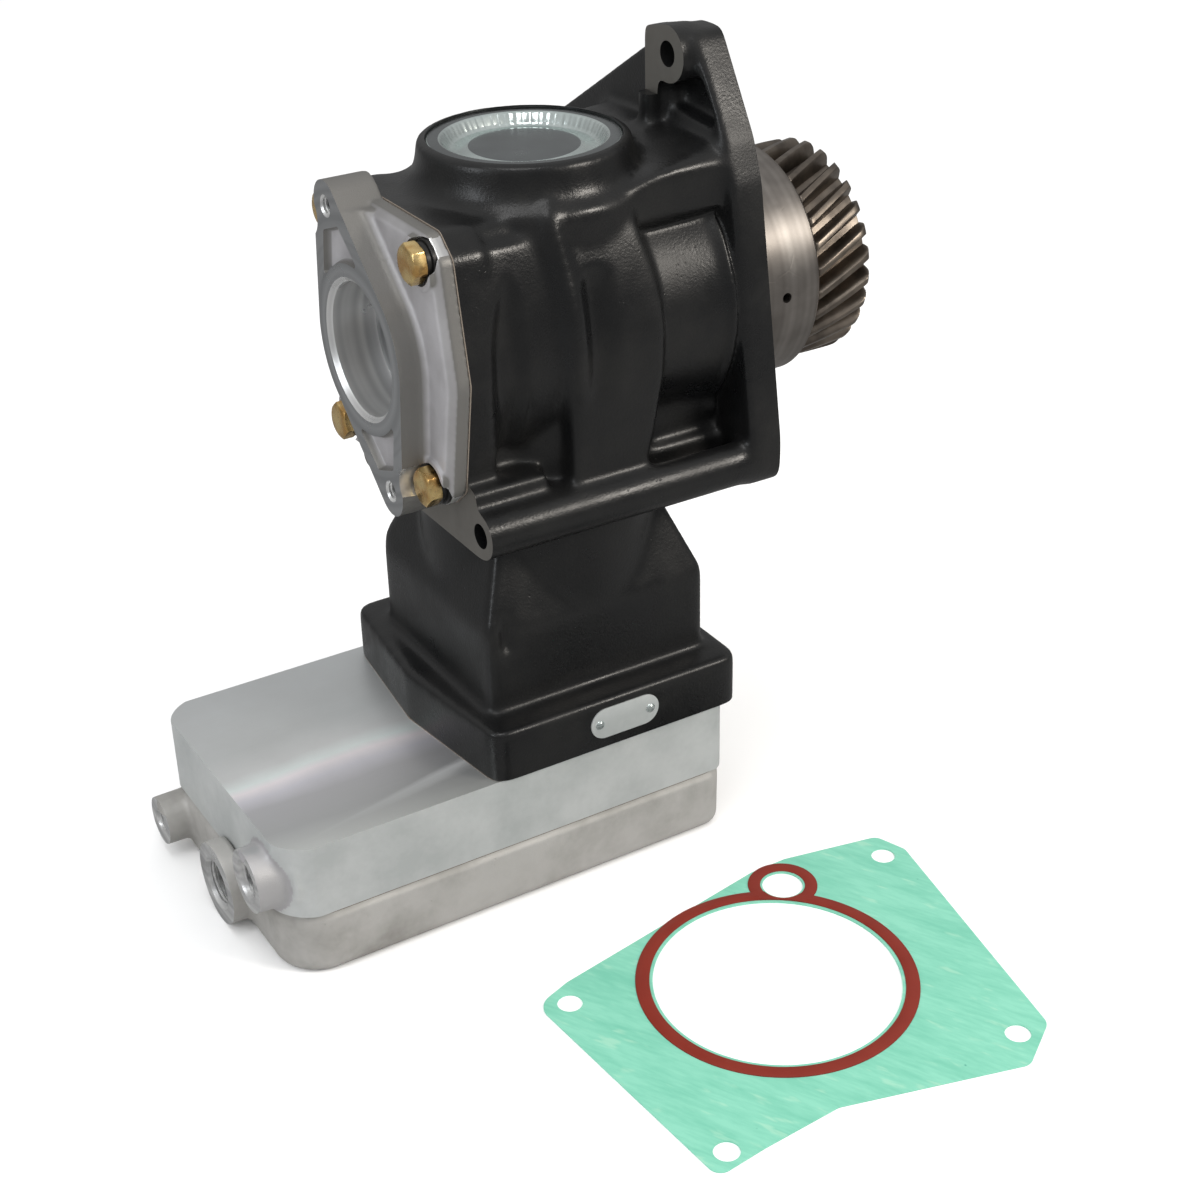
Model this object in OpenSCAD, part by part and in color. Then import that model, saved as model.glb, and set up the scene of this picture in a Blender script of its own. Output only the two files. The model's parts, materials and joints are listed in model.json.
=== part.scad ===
// Single-cylinder air brake compressor, gear driven, hung head-down from an engine.
// Origin: centre of the mounting spigot in the plane of the engine flange.
// +X runs along the crankshaft towards the drive gear, +Z is up, and the head rests on the floor.

/* [Engine and crank] */
// Cylinder bore
bore_d = 90; // [84:1:94]
// Stroke of the piston
stroke = 46; // [38:1:48]
// Piston height from its crown to the wrist pin
compression_h = 37.8; // [36:0.2:41]
// Crank axis down to the face of the cylinder
deck_drop = 207.8; // [206:0.2:214]
// Engine face to the cylinder axis
cyl_offset = 94; // [93:0.5:96]
// Diameter of the crank webs
web_d = 92; // [88:1:96]
// Thickness of one crank web
web_t = 16; // [13:1:17]
// Width of the rod's big end
rod_w = 26; // [24:1:28]
// Diameter of the crankpin
crankpin_d = 31; // [28:0.5:31.5]
// Diameter of the crank at its front bearing
front_journal_d = 35; // [32:1:38]
// Diameter of the crank at its rear bearing
rear_journal_d = 46; // [42:1:50]
// Diameter of the wrist pin
wrist_pin_d = 20; // [17:1:22]

/* [Crankcase] */
// Engine face to the crankcase's front face
case_len = 163.5; // [162:0.5:168]
// Outer radius of the crankcase barrel
barrel_r = 65; // [64:0.5:67]
// Radius of the crank chamber
chamber_r = 60; // [59.5:0.1:60.5]
// Thickness of the engine flange
flange_t = 17; // [14:1:20]
// Diameter of the mounting spigot
spigot_d = 118; // [116:1:119]
// Length of the mounting spigot
spigot_len = 37.5; // [34:0.5:38]
// Clearance holes for the engine bolts
flange_hole_d = 12.4; // [11:0.2:13]
// Height of the deck that carries the core plug
plug_top_z = 87.6; // [85:0.2:92]
// Outer diameter of the core plug
plug_d = 93; // [90:1:95]
// Underside of the crankcase below the crank axis
case_bottom = 87.5; // [86:0.5:90]

/* [Cylinder block] */
// Length of the cylinder's bottom slab along the crank
slab_len = 145; // [143:1:150]
// Width of the slab across the crank
slab_w = 158; // [156:1:162]
// Thickness of the slab
slab_t = 27.7; // [24:0.1:30]
// How far the slab's front side bulges
slab_bulge = 9; // [6:0.5:10]
// Width of the water jacket across the crank
jacket_w = 123; // [121:1:126]

/* [Pump cover] */
// Diameter of the pump bore
pump_bore_d = 65; // [62:0.5:67]
// Depth of the pump bore
pump_bore_depth = 25; // [23:0.5:25.5]
// Depth of the cover from the pump face to its gasket
cover_depth = 23; // [21:0.5:25]
// Thickness of the cover's plate
cover_plate_t = 10; // [9:0.5:12]
// Pump stud holes, hole to hole
pump_hole_pcd = 135.7; // [134:0.1:138]
// Tapping drill of the pump stud holes
pump_hole_d = 8.5; // [7:0.5:9]

/* [Cylinder head] */
// Length of the head along the crank
head_len = 252.5; // [250:0.5:258]
// Width of the head across the crank
head_w = 157; // [155:1:159]
// Thickness of the valve plate with its cooling passages
plate_t = 40.4; // [39:0.2:44]
// Height of the cast head cover
head_cover_h = 35; // [34:0.5:38]
// Thread drill of the delivery port
delivery_port_d = 24.5; // [22:0.5:25]
// Thread drill of the suction port
suction_port_d = 18.5; // [16.5:0.5:20.5]
// Thread drill of the unloader port
unloader_port_d = 10.5; // [8.5:0.5:11]

/* [Drive gear] */
// Number of teeth
gear_teeth = 27; // [25:1:29]
// Diameter over the teeth
gear_od = 110; // [107:0.5:112]
// Width of the toothed rim
gear_w = 34; // [30:1:36]
// Depth of the teeth
tooth_depth = 7.6; // [7:0.1:8.5]
// Helix angle of the teeth, degrees
helix_angle = 25; // [18:1:28]

/* [Hidden] */

// Shared working values
overrun = 1;
touch = 0.02;
run_gap = 0.04;
free_gap = 0.3;
corner_steps = 6;
$fn = 72;

// Colours
cast_black = [0.07, 0.07, 0.075];
cast_alloy = [0.72, 0.73, 0.73];
milled_alloy = [0.66, 0.67, 0.68];
bright_steel = [0.62, 0.62, 0.63];
dark_steel = [0.26, 0.24, 0.22];
black_oxide = [0.09, 0.09, 0.09];
zinc = [0.74, 0.78, 0.78];
yellow_zinc = [0.78, 0.62, 0.30];
bronze = [0.62, 0.48, 0.28];
gasket_paper = [0.30, 0.29, 0.27];
mint_fibre = [0.55, 0.83, 0.76];
red_silicone = [0.50, 0.16, 0.10];

// Places along the crank, front is negative
crank_r = stroke / 2;
front_x = -case_len;
cyl_x = -cyl_offset;
cover_gasket_t = 0.5;
cover_back_x = front_x - cover_gasket_t;
pump_face_x = cover_back_x - cover_depth;

// Engine flange, seen from the gear side: +Y is to the right
flange_top = [-13, 116];
flange_far = [111, 37];
flange_low = [48.5, -108];
flange_near = [-68.5, -75];
flange_holes = [flange_top, flange_far, flange_low, flange_near];
flange_corner_r = 12;
flange_far_r = 15;
flange_near_r = 11;
flange_hip = [-52.5, 82];
flange_shoulder = [-59.5, 62];
flange_waist = [72, -55];
flange_hip_r = 8;
flange_low_share = 1.2;
horn_top_share = 0.72;
horn_crown_share = 0.97;
tube_r = 12;
boss_proud = 5.5;
boss_r = 14;
horn_web = [-4, 6.5];
horn_foot_z = 97.8;
horn_web_z = 78;
pocket_depth = 8;
pocket_r = 3;
pocket_near = [-45.5, 86];
pocket_peak = [-31, 108];
pocket_web = [-8, 100];
pocket_heel = [-8, 89];
oil_port_r = 7.5;
oil_port_at = [-40.5, 63];
oil_port_depth = 24;
oil_bead_r = 18;
oil_drilling_r = 2.6;
oil_drilling_x = 17;

// Crankcase body
cover_side_y = 68;
cover_shoulder = [46, 67];
cover_cheek = [57.5, 57];
cover_corner_r = 6;
rim_t = 16.5;
front_wall_t = 10;
deck_z = 68;
deck_edge_r = 5;
deck_edge = [46, 66];
deck_shoulder = [54, 53.5];
deck_cheek = [61, 27];
deck_side_y = 63;
rear_deck_edge = [44, 81];
rear_deck_rail = [54, 74];
rear_deck_sill = [52.5, 52];
rear_deck_root = [44, 46];
rear_deck_z = 81;
rear_deck_mid_x = -57;
rear_deck_mid_z = 74;
rear_deck_front_x = -78;
leaf_half_z = 48;
leaf_half_w = 10.5;
leaf_x = -142.5;
leaf_depth = 3;
leaf_arc_r = (leaf_half_z * leaf_half_z + leaf_half_w * leaf_half_w) / (2 * leaf_half_w);
band_front_x = -112;
band_back_x = -60.5;
band_arc_r = 209.5;
band_proud = 6;
band_r = barrel_r + band_proud;
band_edge = [50, 69];
band_shoulder = [58.5, 54];
band_cheek = [65.5, 29];
band_foot = [68.5, 66];
valley_front_x = -104;
valley_w = 7;
valley_r = 66.5;
valley_foot_z = 25;
low_body_z = 63.5;
low_front_z = 54;
low_front_len = 40;
low_front_y = 66;
low_pocket_x = -70;
low_pocket_len = 52;
low_pocket_w = 12;
low_pocket_y = -66;
low_pocket_depth = 12;
low_far_y = 58;
low_inner_y = 48;
plug_boss_r = plug_d / 2 + 4.5;
plug_boss_flare = 4;
plug_boss_neck = 8;
rear_wall_t = 26;
chamber_back_x = -rear_wall_t;
front_open_r = 50;
plug_seat_depth = 11;
plug_open_r = plug_d / 2 - 7;

// Cylinder block
jacket_front = 65;
jacket_back = 62;
jacket_rise = 43.1;
jacket_lean = 20;
jacket_corner_r = 6;
jacket_far_corner_r = 13;
barrel_column_r = 61;
access_groove_r = 4.5;
access_groove_front = 54;
access_groove_top = 92;
access_groove_sink = 11;
slab_back = 72;
slab_corner_r = 9;
slab_top = deck_drop - slab_t;
jacket_top = slab_top - jacket_rise;
access_groove_foot = jacket_top + access_groove_sink;

// Pump cover
cover_bolt_y = 45.2;
cover_bolt_z = 54.7;
cover_chamfer = 4;
pump_hole_angle = 69.3;
pump_land_r = 43;
pump_lobe_r = 12.5;
pump_lobe_land_r = 9.9;
pump_ring_land_r = 41.5;
pump_pocket_depth = 4;
pump_pocket_tip_w = 19;
pump_pocket_foot_w = 44.6;
pump_bore_chamfer = 2.3;
pump_hole_depth = 20;
spotface_r = 11;
spotface_depth = 4;
hub_r = front_open_r - run_gap;
hub_back_x = -134.5;
dog_hole_r = 18;
cover_bolt_d = 10;
cover_bolt_head_af = 17;
cover_bolt_head_h = 7;
cover_bolt_grip = 14;
cover_bolt_tip_gap = 1.5;
cover_bolt_chamfer = 1.2;
lock_washer_t = 2.5;
lock_washer_r = 9;
plain_washer_t = 2;
plain_washer_r = 10;

// Front ball bearing
bearing_or = 36;
bearing_w = 17;
bearing_back_x = -137;
race_t = 4.6;
ball_r = 4.6;
ball_count = 11;
race_groove_r = 4.9;
circlip_t = 1.8;
circlip_in = 5;

// Rear bush and seal
bush_t = 4;
bush_front_x = -24;
bush_back_x = 24;
seal_w = 8;
seal_lip_t = 1.2;
seal_case_t = 1.4;
seal_inset = 1;
seal_lean = 1;
seal_web_t = 0.6;
thrust_washer_t = 2;
thrust_washer_w = 9;

// Crankshaft
pin_gap = 0.3;
web_gap = rod_w / 2 + pin_gap;
front_web_x = cyl_x - web_gap - web_t;
rear_web_x = cyl_x + web_gap;
web_round = 3;
shoulder_r = 21;
rear_collar_w = 4;
gear_seat_r = 19;
gear_gap = 2;
gear_front_x = spigot_len + gear_gap;
gear_back_x = gear_front_x + gear_w;
gear_counterbore = 10;
gear_counterbore_r = 28;
gear_thread_r = 12;
key_inset = 3;
gear_clamp_gap = 1;
gear_thread_end = 8;
oil_way_r = 3;
key_x = gear_front_x + key_inset;
key_w = 5;
key_len = 18;
key_h = 5;
key_sink = 2.6;
nut_af = 36;
nut_h = 14;
nut_washer_t = 2.5;
nut_washer_r = 22;
nut_chamfer = 2;
dog_r = 17;
dog_len = 7.5;
dog_slot_w = 9;
dog_slot_depth = 4.5;
dog_tang_w = 8;
dog_tang_inset = 1;

// Gear
gear_tip_r = gear_od / 2;
gear_root_r = gear_tip_r - tooth_depth;
tooth_pitch_share = 0.44;
gear_pitch_r = gear_tip_r - tooth_depth * tooth_pitch_share;
tooth_tip_share = 0.24;
tooth_pitch_half_share = 0.5;
tooth_root_share = 0.74;
tooth_chamfer = 1.6;
gear_web_r = 38;
gear_web_in_r = 28;
gear_web_dish = 8;
gear_slices = 6;

// Rod, piston and rings
piston_top_gap = 1;
rod_len = deck_drop - piston_top_gap - crank_r - compression_h;
piston_skirt = 38;
piston_clear = 0.05;
piston_wall = 5;
piston_crown = 8;
ring_land_1 = 6;
ring_land_2 = 12;
ring_land_3 = 18;
ring_h = 2.5;
oil_ring_h = 4;
ring_groove_depth = 4.4;
ring_t = 3.9;
ring_side_gap = 0.03;
ring_end_gap = 1.2;
pin_boss_r = 16;
pin_boss_gap = 14.5;
pin_len = 70;
pin_bore_r = 6;
circlip_wire = 1.6;
circlip_seat = 1;
small_end_r = 17;
small_end_w = 24;
small_bush_t = 2.5;
shell_t = 1.8;
big_end_wall = 7.7;
rod_bolt_d = 7;
rod_bolt_wall = 0.7;
big_end_lug_wall = 1.5;
rod_bolt_head_r = 5.2;
rod_bolt_head_h = 5;
cap_lug_h = 8;
rod_lug_h = 6;
shank_w_top = 22;
shank_w_low = 30;
shank_t = 15;
shank_web_t = 5;
shank_flange = 5;
rod_joint_gap = 0.01;

// Valve plate, reeds and head cover
cyl_gasket_t = 0.6;
head_gasket_t = 1.2;
head_front_x = -281.5;
head_shift_y = 2;
gasket_inset = 1;
head_far_r = 22;
head_near_r = 24;
head_back_r = 12;
plate_top = deck_drop + cyl_gasket_t;
plate_bottom = plate_top + plate_t;
cover_top = plate_bottom + head_gasket_t;
base_z = -(cover_top + head_cover_h);
port_face_out = 10.5;
unloader_face_out = 13.5;
delivery_y = -6;
delivery_boss_r = 21.9;
delivery_drop = 13;
delivery_depth = 26;
suction_y = -52;
suction_boss_r = 16.4;
suction_drop = 24;
suction_depth = 30;
unloader_y = 65;
unloader_boss_r = 13.2;
unloader_drop = 15.5;
unloader_depth = 22;
unloader_boss_len = 40;
port_chamfer = 1.6;
water_depth = 20;
water_wall = 9;
inlet_y = -20;
delivery_valve_y = 20;
valve_port_r = 6;
valve_port_pitch = 15;
reed_recess = 3.6;
reed_side_gap = 1;
reed_corner_r = 1;
reed_root_lift = 0.35;
reed_len = 62;
reed_w = 17;
reed_t = 0.5;
reed_clamp = 11;
reed_lift = 1.7;
reed_hole_r = 2.6;
stop_t = 2.2;
screw_r = 2.5;
screw_head_r = 4.2;
screw_head_h = 1.4;
screw_len = 9.5;
cover_wall = 8;
cover_floor = 9;
cover_rib_t = 8;
head_bolt_d = 10;
head_bolt_x = 50;
head_bolt_edge = 17;
head_bolt_y = slab_w / 2 - head_bolt_edge;
head_bolt_head_r = 8;
head_bolt_head_h = 10;
head_bolt_socket_r = 4.6;
head_bolt_socket_depth = 5;
head_bolt_pocket_r = 9.5;
head_bolt_pocket_h = 14;
head_bolt_grip = 16;
head_bolt_tip_gap = 1;
dowel_r = 4;
dowel_len = 14;
dowel_tip_gap = 1;
dowel_x = 54;
dowel_edge = 43;
dowel_y = slab_w / 2 - dowel_edge;

// Nameplate
name_len = 40;
name_h = 17;
name_t = 0.8;
name_shift = 1;
name_rise = 14.3;
name_x = cyl_x + name_shift;
name_z = name_rise - deck_drop;
rivet_r = 2.6;
rivet_pitch = 30;
rivet_shank_r = 1.4;
rivet_len = 5;
rivet_dome = 1.1;

// Loose mounting gasket, lying on the floor beside the compressor
gasket_t = 0.8;
gasket_hole_r = 60.5;
bead_in_r = 62;
bead_out_r = 69;
bead_t = 0.7;
oil_bead_in_r = 11.5;
oil_hole_r = 10.5;
gasket_x = -82.8;
gasket_y = -199.5;
gasket_turn = -70.6;

// Helpers

function unit(v) = v / norm(v);

// Points of one rounded corner at p, between the neighbours a and b
function corner(a, p, b, r) =
    let (
        u = unit(a - p),
        w = unit(b - p),
        half = acos(u * w) / 2,
        run = r / tan(half),
        centre = p + unit(u + w) * r / sin(half),
        from = p + u * run - centre,
        to = p + w * run - centre,
        a0 = atan2(from[1], from[0]),
        turn = atan2(from[0] * to[1] - from[1] * to[0], from * to)
    )
    [for (i = [0 : corner_steps])
        centre + r * [cos(a0 + turn * i / corner_steps), sin(a0 + turn * i / corner_steps)]];

// An outline whose corners have the radii given, zero for a sharp one
function rounded(points, radii) =
    let (n = len(points))
    [for (i = [0 : n - 1])
        let (a = points[(i + n - 1) % n], b = points[(i + 1) % n])
        for (q = radii[i] > 0 ? corner(a, points[i], b, radii[i]) : [points[i]]) q];

module along_x(x0, x1) {
    translate([x0, 0, 0]) rotate([90, 0, 90]) linear_extrude(x1 - x0) children();
}

module along_y(y0, y1) {
    translate([0, y1, 0]) rotate([90, 0, 0]) linear_extrude(y1 - y0) children();
}

module along_z(z0, z1) {
    translate([0, 0, z0]) linear_extrude(z1 - z0) children();
}

module rod_x(r, x0, x1) {
    translate([x0, 0, 0]) rotate([0, 90, 0]) cylinder(r = r, h = x1 - x0);
}

module cone_x(r0, r1, x0, x1) {
    translate([x0, 0, 0]) rotate([0, 90, 0]) cylinder(r1 = r0, r2 = r1, h = x1 - x0);
}

module ring_x(r_out, r_in, x0, x1) {
    difference() {
        rod_x(r_out, x0, x1);
        rod_x(r_in, x0 - overrun, x1 + overrun);
    }
}

module at(yz) {
    translate([0, yz[0], yz[1]]) children();
}

// A hexagonal prism along X, its points chamfered at the outer end
module hex_x(af, x0, x1, chamfer) {
    corner_r = af / sqrt(3);
    intersection() {
        translate([x0, 0, 0]) rotate([0, 90, 0]) cylinder(r = corner_r, h = x1 - x0, $fn = 6);
        union() {
            cone_x(corner_r - chamfer, corner_r, x0, x0 + chamfer);
            rod_x(corner_r, x0 + chamfer, x1);
        }
    }
}

// Outlines in the Y and Z plane

function flange_points() = rounded(
    [
        flange_top + [-flange_corner_r, flange_corner_r],
        flange_hip, flange_shoulder,
        flange_near + [-flange_near_r, flange_near_r],
        flange_near + [-flange_near_r, -flange_near_r],
        flange_low + [flange_corner_r / 2, -flange_corner_r * flange_low_share],
        flange_low + [flange_corner_r, flange_corner_r],
        flange_waist,
        flange_far + [flange_far_r, -flange_far_r],
        flange_far + [flange_far_r / 2, flange_far_r],
        flange_top + [flange_corner_r / 2, flange_corner_r]
    ],
    [
        flange_corner_r / 2, flange_hip_r, flange_hip_r, 0, flange_near_r - touch,
        flange_corner_r / 2, flange_corner_r / 2, flange_hip_r, flange_far_r / 2, flange_far_r / 2,
        flange_corner_r / 2
    ]);

function cover_points(inset) =
    let (
        s = [cover_shoulder[0] - inset / 2, cover_shoulder[1] - inset],
        c = [cover_cheek[0] - inset, cover_cheek[1] - inset / 2],
        side = cover_side_y - inset
    )
    rounded(
        [
            [s[0], s[1]], [-s[0], s[1]], [-c[0], c[1]], [-side, 0], [-c[0], -c[1]],
            [-s[0], -s[1]], [s[0], -s[1]], [c[0], -c[1]], [side, 0], [c[0], c[1]]
        ],
        [for (i = [0 : 9]) cover_corner_r]);

// Diamond of the pump flange: a ring with two lobes, joined by tangent lines
function pump_outline_points() =
    let (
        reach = pump_hole_pcd / 2,
        spread = acos((pump_land_r - pump_lobe_r) / reach),
        steps = 2 * corner_steps
    )
    [for (side = [0, 180])
        let (t0 = pump_hole_angle + side, c = reach * [cos(t0), sin(t0)])
        each concat(
            [for (i = [0 : steps])
                let (t = t0 - spread + 2 * spread * i / steps) c + pump_lobe_r * [cos(t), sin(t)]],
            [for (i = [0 : steps])
                let (t = t0 + spread + (180 - 2 * spread) * i / steps)
                    pump_land_r * [cos(t), sin(t)]])];

// Cast pocket between the ring land and one lobe, along and across the line to the lobe
function pump_pocket_points() =
    let (
        dir = [cos(pump_hole_angle), sin(pump_hole_angle)],
        side = [-dir[1], dir[0]],
        tip = pump_hole_pcd / 2 - pump_lobe_land_r,
        half_angle = asin(pump_pocket_foot_w / 2 / pump_ring_land_r)
    )
    concat(
        [dir * tip + side * pump_pocket_tip_w / 2],
        [for (i = [corner_steps : -1 : -corner_steps])
            let (t = half_angle * i / corner_steps) pump_ring_land_r * (dir * cos(t) + side * sin(t))],
        [dir * tip - side * pump_pocket_tip_w / 2]);

// Outlines in the X and Y plane

function slab_points() =
    let (back = cyl_x + slab_back, front = back - slab_len, w = slab_w / 2)
    rounded(
        [[back, -w], [back, w], [front, w], [front - slab_bulge, 0], [front, -w]],
        [slab_corner_r, slab_corner_r, slab_corner_r, slab_corner_r, slab_corner_r]);

function jacket_points() =
    let (back = cyl_x + jacket_back, front = cyl_x - jacket_front, w = jacket_w / 2)
    rounded(
        [[back, -w], [back, w], [front, w], [front, -w]],
        [jacket_corner_r, jacket_far_corner_r, jacket_far_corner_r, jacket_corner_r]);

head_back_x = head_front_x + head_len;

function head_points(inset) =
    let (near = head_shift_y - head_w / 2 + inset, far = head_shift_y + head_w / 2 - inset)
    rounded(
        [[head_back_x - inset, near], [head_back_x - inset, far],
            [head_front_x + inset, far], [head_front_x + inset, near]],
        [head_back_r - inset / 2, head_back_r - inset / 2, head_far_r - inset / 2,
            head_near_r - inset / 2]);

module cover_bolt_places() {
    for (sy = [-1, 1], sz = [-1, 1]) at([sy * cover_bolt_y, sz * cover_bolt_z]) children();
}

module head_bolt_places() {
    for (sx = [-1, 1], sy = [-1, 1])
        translate([cyl_x + sx * head_bolt_x, sy * head_bolt_y, 0]) children();
}

module dowel_places() {
    for (s = [-1, 1]) translate([cyl_x + s * dowel_x, s * dowel_y, 0]) children();
}

// Crankcase with its cylinder block, one casting

module crankcase_barrel() {
    rod_x(barrel_r, front_x, -flange_t / 2);
    along_x(front_x, front_x + rim_t) polygon(cover_points(0));
    difference() {
        barrel_band();
        // Valley between the rib in front and the broad band behind
        intersection() {
            ring_x(2 * barrel_r, valley_r, valley_front_x, valley_front_x + valley_w);
            translate([valley_front_x - overrun, -2 * barrel_r, -valley_foot_z])
                cube([valley_w + 2 * overrun, 4 * barrel_r, 2 * barrel_r]);
        }
    }
}

// Points for both sides of an outline that is the same to the left and to the right
function both_sides(points) =
    concat([for (p = points) [-p[0], p[1]]], [for (i = [len(points) - 1 : -1 : 0]) points[i]]);

// Broad band round the barrel, straight down to the foot, its rear edge an arc seen from the side
module barrel_band() {
    intersection() {
        along_y(-2 * barrel_r, 2 * barrel_r) intersection() {
            translate([band_back_x - band_arc_r, 0]) circle(r = band_arc_r, $fn = 2 * $fn);
            translate([band_front_x, -case_bottom])
                square([band_back_x - band_front_x, 2 * case_bottom]);
        }
        union() {
            rod_x(band_r, band_front_x, band_back_x);
            along_x(band_front_x, band_back_x)
                polygon(both_sides([
                    band_edge, band_shoulder, band_cheek, [band_cheek[0], 0], [0, 0]]));
            along_x(band_front_x, band_back_x)
                polygon([[-band_r, 0], [-band_foot[0], -band_foot[1]], [0, -band_foot[1]], [0, 0]]);
        }
    }
}

module crankcase_decks() {
    along_x(front_x, band_front_x + overrun)
        polygon(rounded(
            both_sides([deck_edge, deck_shoulder, deck_cheek, [deck_side_y, 0], [0, 0]]),
            [deck_edge_r, deck_edge_r, 0, 0, 0, 0, 0, 0, deck_edge_r, deck_edge_r]));
    intersection() {
        along_x(rear_deck_front_x, -flange_t / 2)
            polygon(both_sides([rear_deck_edge, rear_deck_rail, rear_deck_sill, rear_deck_root,
                [0, 0]]));
        along_y(-2 * barrel_r, 2 * barrel_r)
            polygon([[rear_deck_front_x, 0], [rear_deck_front_x, deck_z],
                [rear_deck_mid_x, rear_deck_mid_z],
                [-flange_t, rear_deck_z], [0, rear_deck_z], [0, 0]]);
    }
    translate([cyl_x, 0, 0]) {
        cylinder(r = plug_boss_r, h = plug_top_z);
        translate([0, 0, deck_z - plug_boss_flare])
            cylinder(r1 = plug_boss_r + plug_boss_flare, r2 = plug_boss_r,
                h = plug_boss_neck + plug_boss_flare);
    }
}

module crankcase_underside() {
    along_x(front_x, -flange_t / 2)
        polygon(rounded(
            [[flange_near[0], -low_body_z], [flange_near[0], -case_bottom], [low_far_y, -case_bottom],
                [low_far_y, 0], [-low_inner_y, 0], [-low_inner_y, -low_body_z]],
            [0, 0, cover_corner_r, 0, 0, 0]));
    along_x(front_x, front_x + low_front_len)
        polygon([[-low_front_y, -low_front_z], [-low_front_y, -case_bottom], [0, -case_bottom],
            [0, -low_front_z]]);
    at(flange_near) rod_x(tube_r, front_x, -flange_t / 2);
}

module engine_flange() {
    along_x(-flange_t, 0) polygon(flange_points());
    for (p = [flange_top, flange_far, flange_low]) at(p)
        rod_x(boss_r, -flange_t - boss_proud, -flange_t / 2);
    along_x(-flange_t - boss_proud, -flange_t / 2)
        polygon([[horn_web[0], horn_foot_z], [horn_web[1], horn_foot_z],
            [horn_web[1], flange_top[1] + boss_r * horn_top_share],
            [flange_top[0], flange_top[1] + boss_r * horn_crown_share]]);
    along_x(-flange_t - boss_proud, -flange_t / 2)
        polygon([[horn_web[0], horn_web_z], [horn_web[1], horn_web_z], [horn_web[1], horn_foot_z],
            [horn_web[0], horn_foot_z]]);
    rod_x(spigot_d / 2, -flange_t / 2, spigot_len);
}

module cylinder_block() {
    along_z(-deck_drop, -slab_top) polygon(slab_points());
    along_z(-slab_top - overrun, -jacket_top) polygon(jacket_points());
    intersection() {
        along_y(-jacket_w / 2, jacket_w / 2)
            polygon([
                [cyl_x - jacket_front, -jacket_top - overrun], [cyl_x - jacket_front, -jacket_top],
                [cyl_x - jacket_front + jacket_lean, -case_bottom + overrun],
                [cyl_x + jacket_back - jacket_lean, -case_bottom + overrun],
                [cyl_x + jacket_back, -jacket_top], [cyl_x + jacket_back, -jacket_top - overrun]]);
        along_x(cyl_x - jacket_front, cyl_x + jacket_back)
            polygon([
                [-jacket_w / 2, -jacket_top - overrun], [-jacket_w / 2, -jacket_top],
                [-jacket_w / 2 + jacket_lean, -case_bottom + overrun],
                [jacket_w / 2 - jacket_lean, -case_bottom + overrun],
                [jacket_w / 2, -jacket_top], [jacket_w / 2, -jacket_top - overrun]]);
        along_z(-jacket_top - overrun, overrun - case_bottom) polygon(jacket_points());
    }
    translate([cyl_x, 0, -slab_top - overrun]) cylinder(r = barrel_column_r, h = slab_top);
}

module crankcase_hollows() {
    // Crank chamber, front opening and rear bearing bore
    rod_x(chamber_r, front_x + front_wall_t, chamber_back_x);
    rod_x(front_open_r, front_x - overrun, front_x + front_wall_t + overrun);
    rod_x(rear_journal_d / 2 + bush_t, chamber_back_x - overrun, spigot_len + overrun);
    // Cylinder bore
    translate([cyl_x, 0, -deck_drop - overrun]) cylinder(r = bore_d / 2, h = deck_drop);
    // Core plug opening and its seat
    translate([cyl_x, 0, 0]) {
        cylinder(r = plug_open_r, h = plug_top_z + overrun);
        translate([0, 0, plug_top_z - plug_seat_depth])
            cylinder(r = plug_d / 2, h = plug_seat_depth + overrun);
    }
}

module crankcase_holes() {
    for (p = [flange_top, flange_far, flange_low])
        at(p) rod_x(flange_hole_d / 2, -flange_t - boss_proud - overrun, overrun);
    at(flange_near) rod_x(flange_hole_d / 2, front_x - overrun, overrun);
    cover_bolt_places() rod_x(cover_bolt_d / 2, front_x - overrun,
        front_x + cover_bolt_grip + cover_bolt_tip_gap);
    at(oil_port_at) rod_x(oil_port_r, -oil_port_depth, overrun);
    head_bolt_places() along_z(-deck_drop - overrun, -deck_drop + head_bolt_grip)
        circle(r = head_bolt_d / 2);
    dowel_places() along_z(-deck_drop - overrun, -deck_drop + dowel_len / 2) circle(r = dowel_r);
    // Oil drilling in the spigot wall
    translate([oil_drilling_x, 0, 0]) rotate([90, 0, 0])
        translate([0, 0, rear_journal_d / 2 + bush_t - overrun])
            cylinder(r = oil_drilling_r, h = spigot_d / 2);
    // Rivet holes of the nameplate
    for (s = [-1, 1]) translate([name_x + s * rivet_pitch / 2, -slab_w / 2 - overrun, name_z])
        rotate([-90, 0, 0])
        cylinder(r = rivet_shank_r, h = rivet_len + overrun);
}

module crankcase_recesses() {
    // Shallow leaf-shaped pocket in each side of the barrel, behind its front rim
    intersection() {
        ring_x(2 * barrel_r, barrel_r - leaf_depth, leaf_x - leaf_half_w, leaf_x + leaf_half_w);
        along_y(-2 * barrel_r, 2 * barrel_r) intersection() {
            translate([leaf_x + leaf_half_w - leaf_arc_r, 0]) circle(r = leaf_arc_r);
            translate([leaf_x - leaf_half_w + leaf_arc_r, 0]) circle(r = leaf_arc_r);
        }
    }
    // Pocket behind the long bolt tube
    translate([low_pocket_x, low_pocket_y, -low_body_z - low_pocket_depth])
        cube([low_pocket_len, low_pocket_w, low_pocket_depth + overrun]);
    // Pocket beside the horn
    along_x(-flange_t - overrun, -flange_t + pocket_depth)
        polygon(rounded([pocket_web, pocket_peak, pocket_near, pocket_heel],
            [pocket_r, pocket_r, pocket_r, pocket_r]));
    // Channel down the jacket's near side
    translate([cyl_x - access_groove_front, -jacket_w / 2, -access_groove_foot])
        cylinder(r = access_groove_r, h = access_groove_foot - access_groove_top);
}

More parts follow.
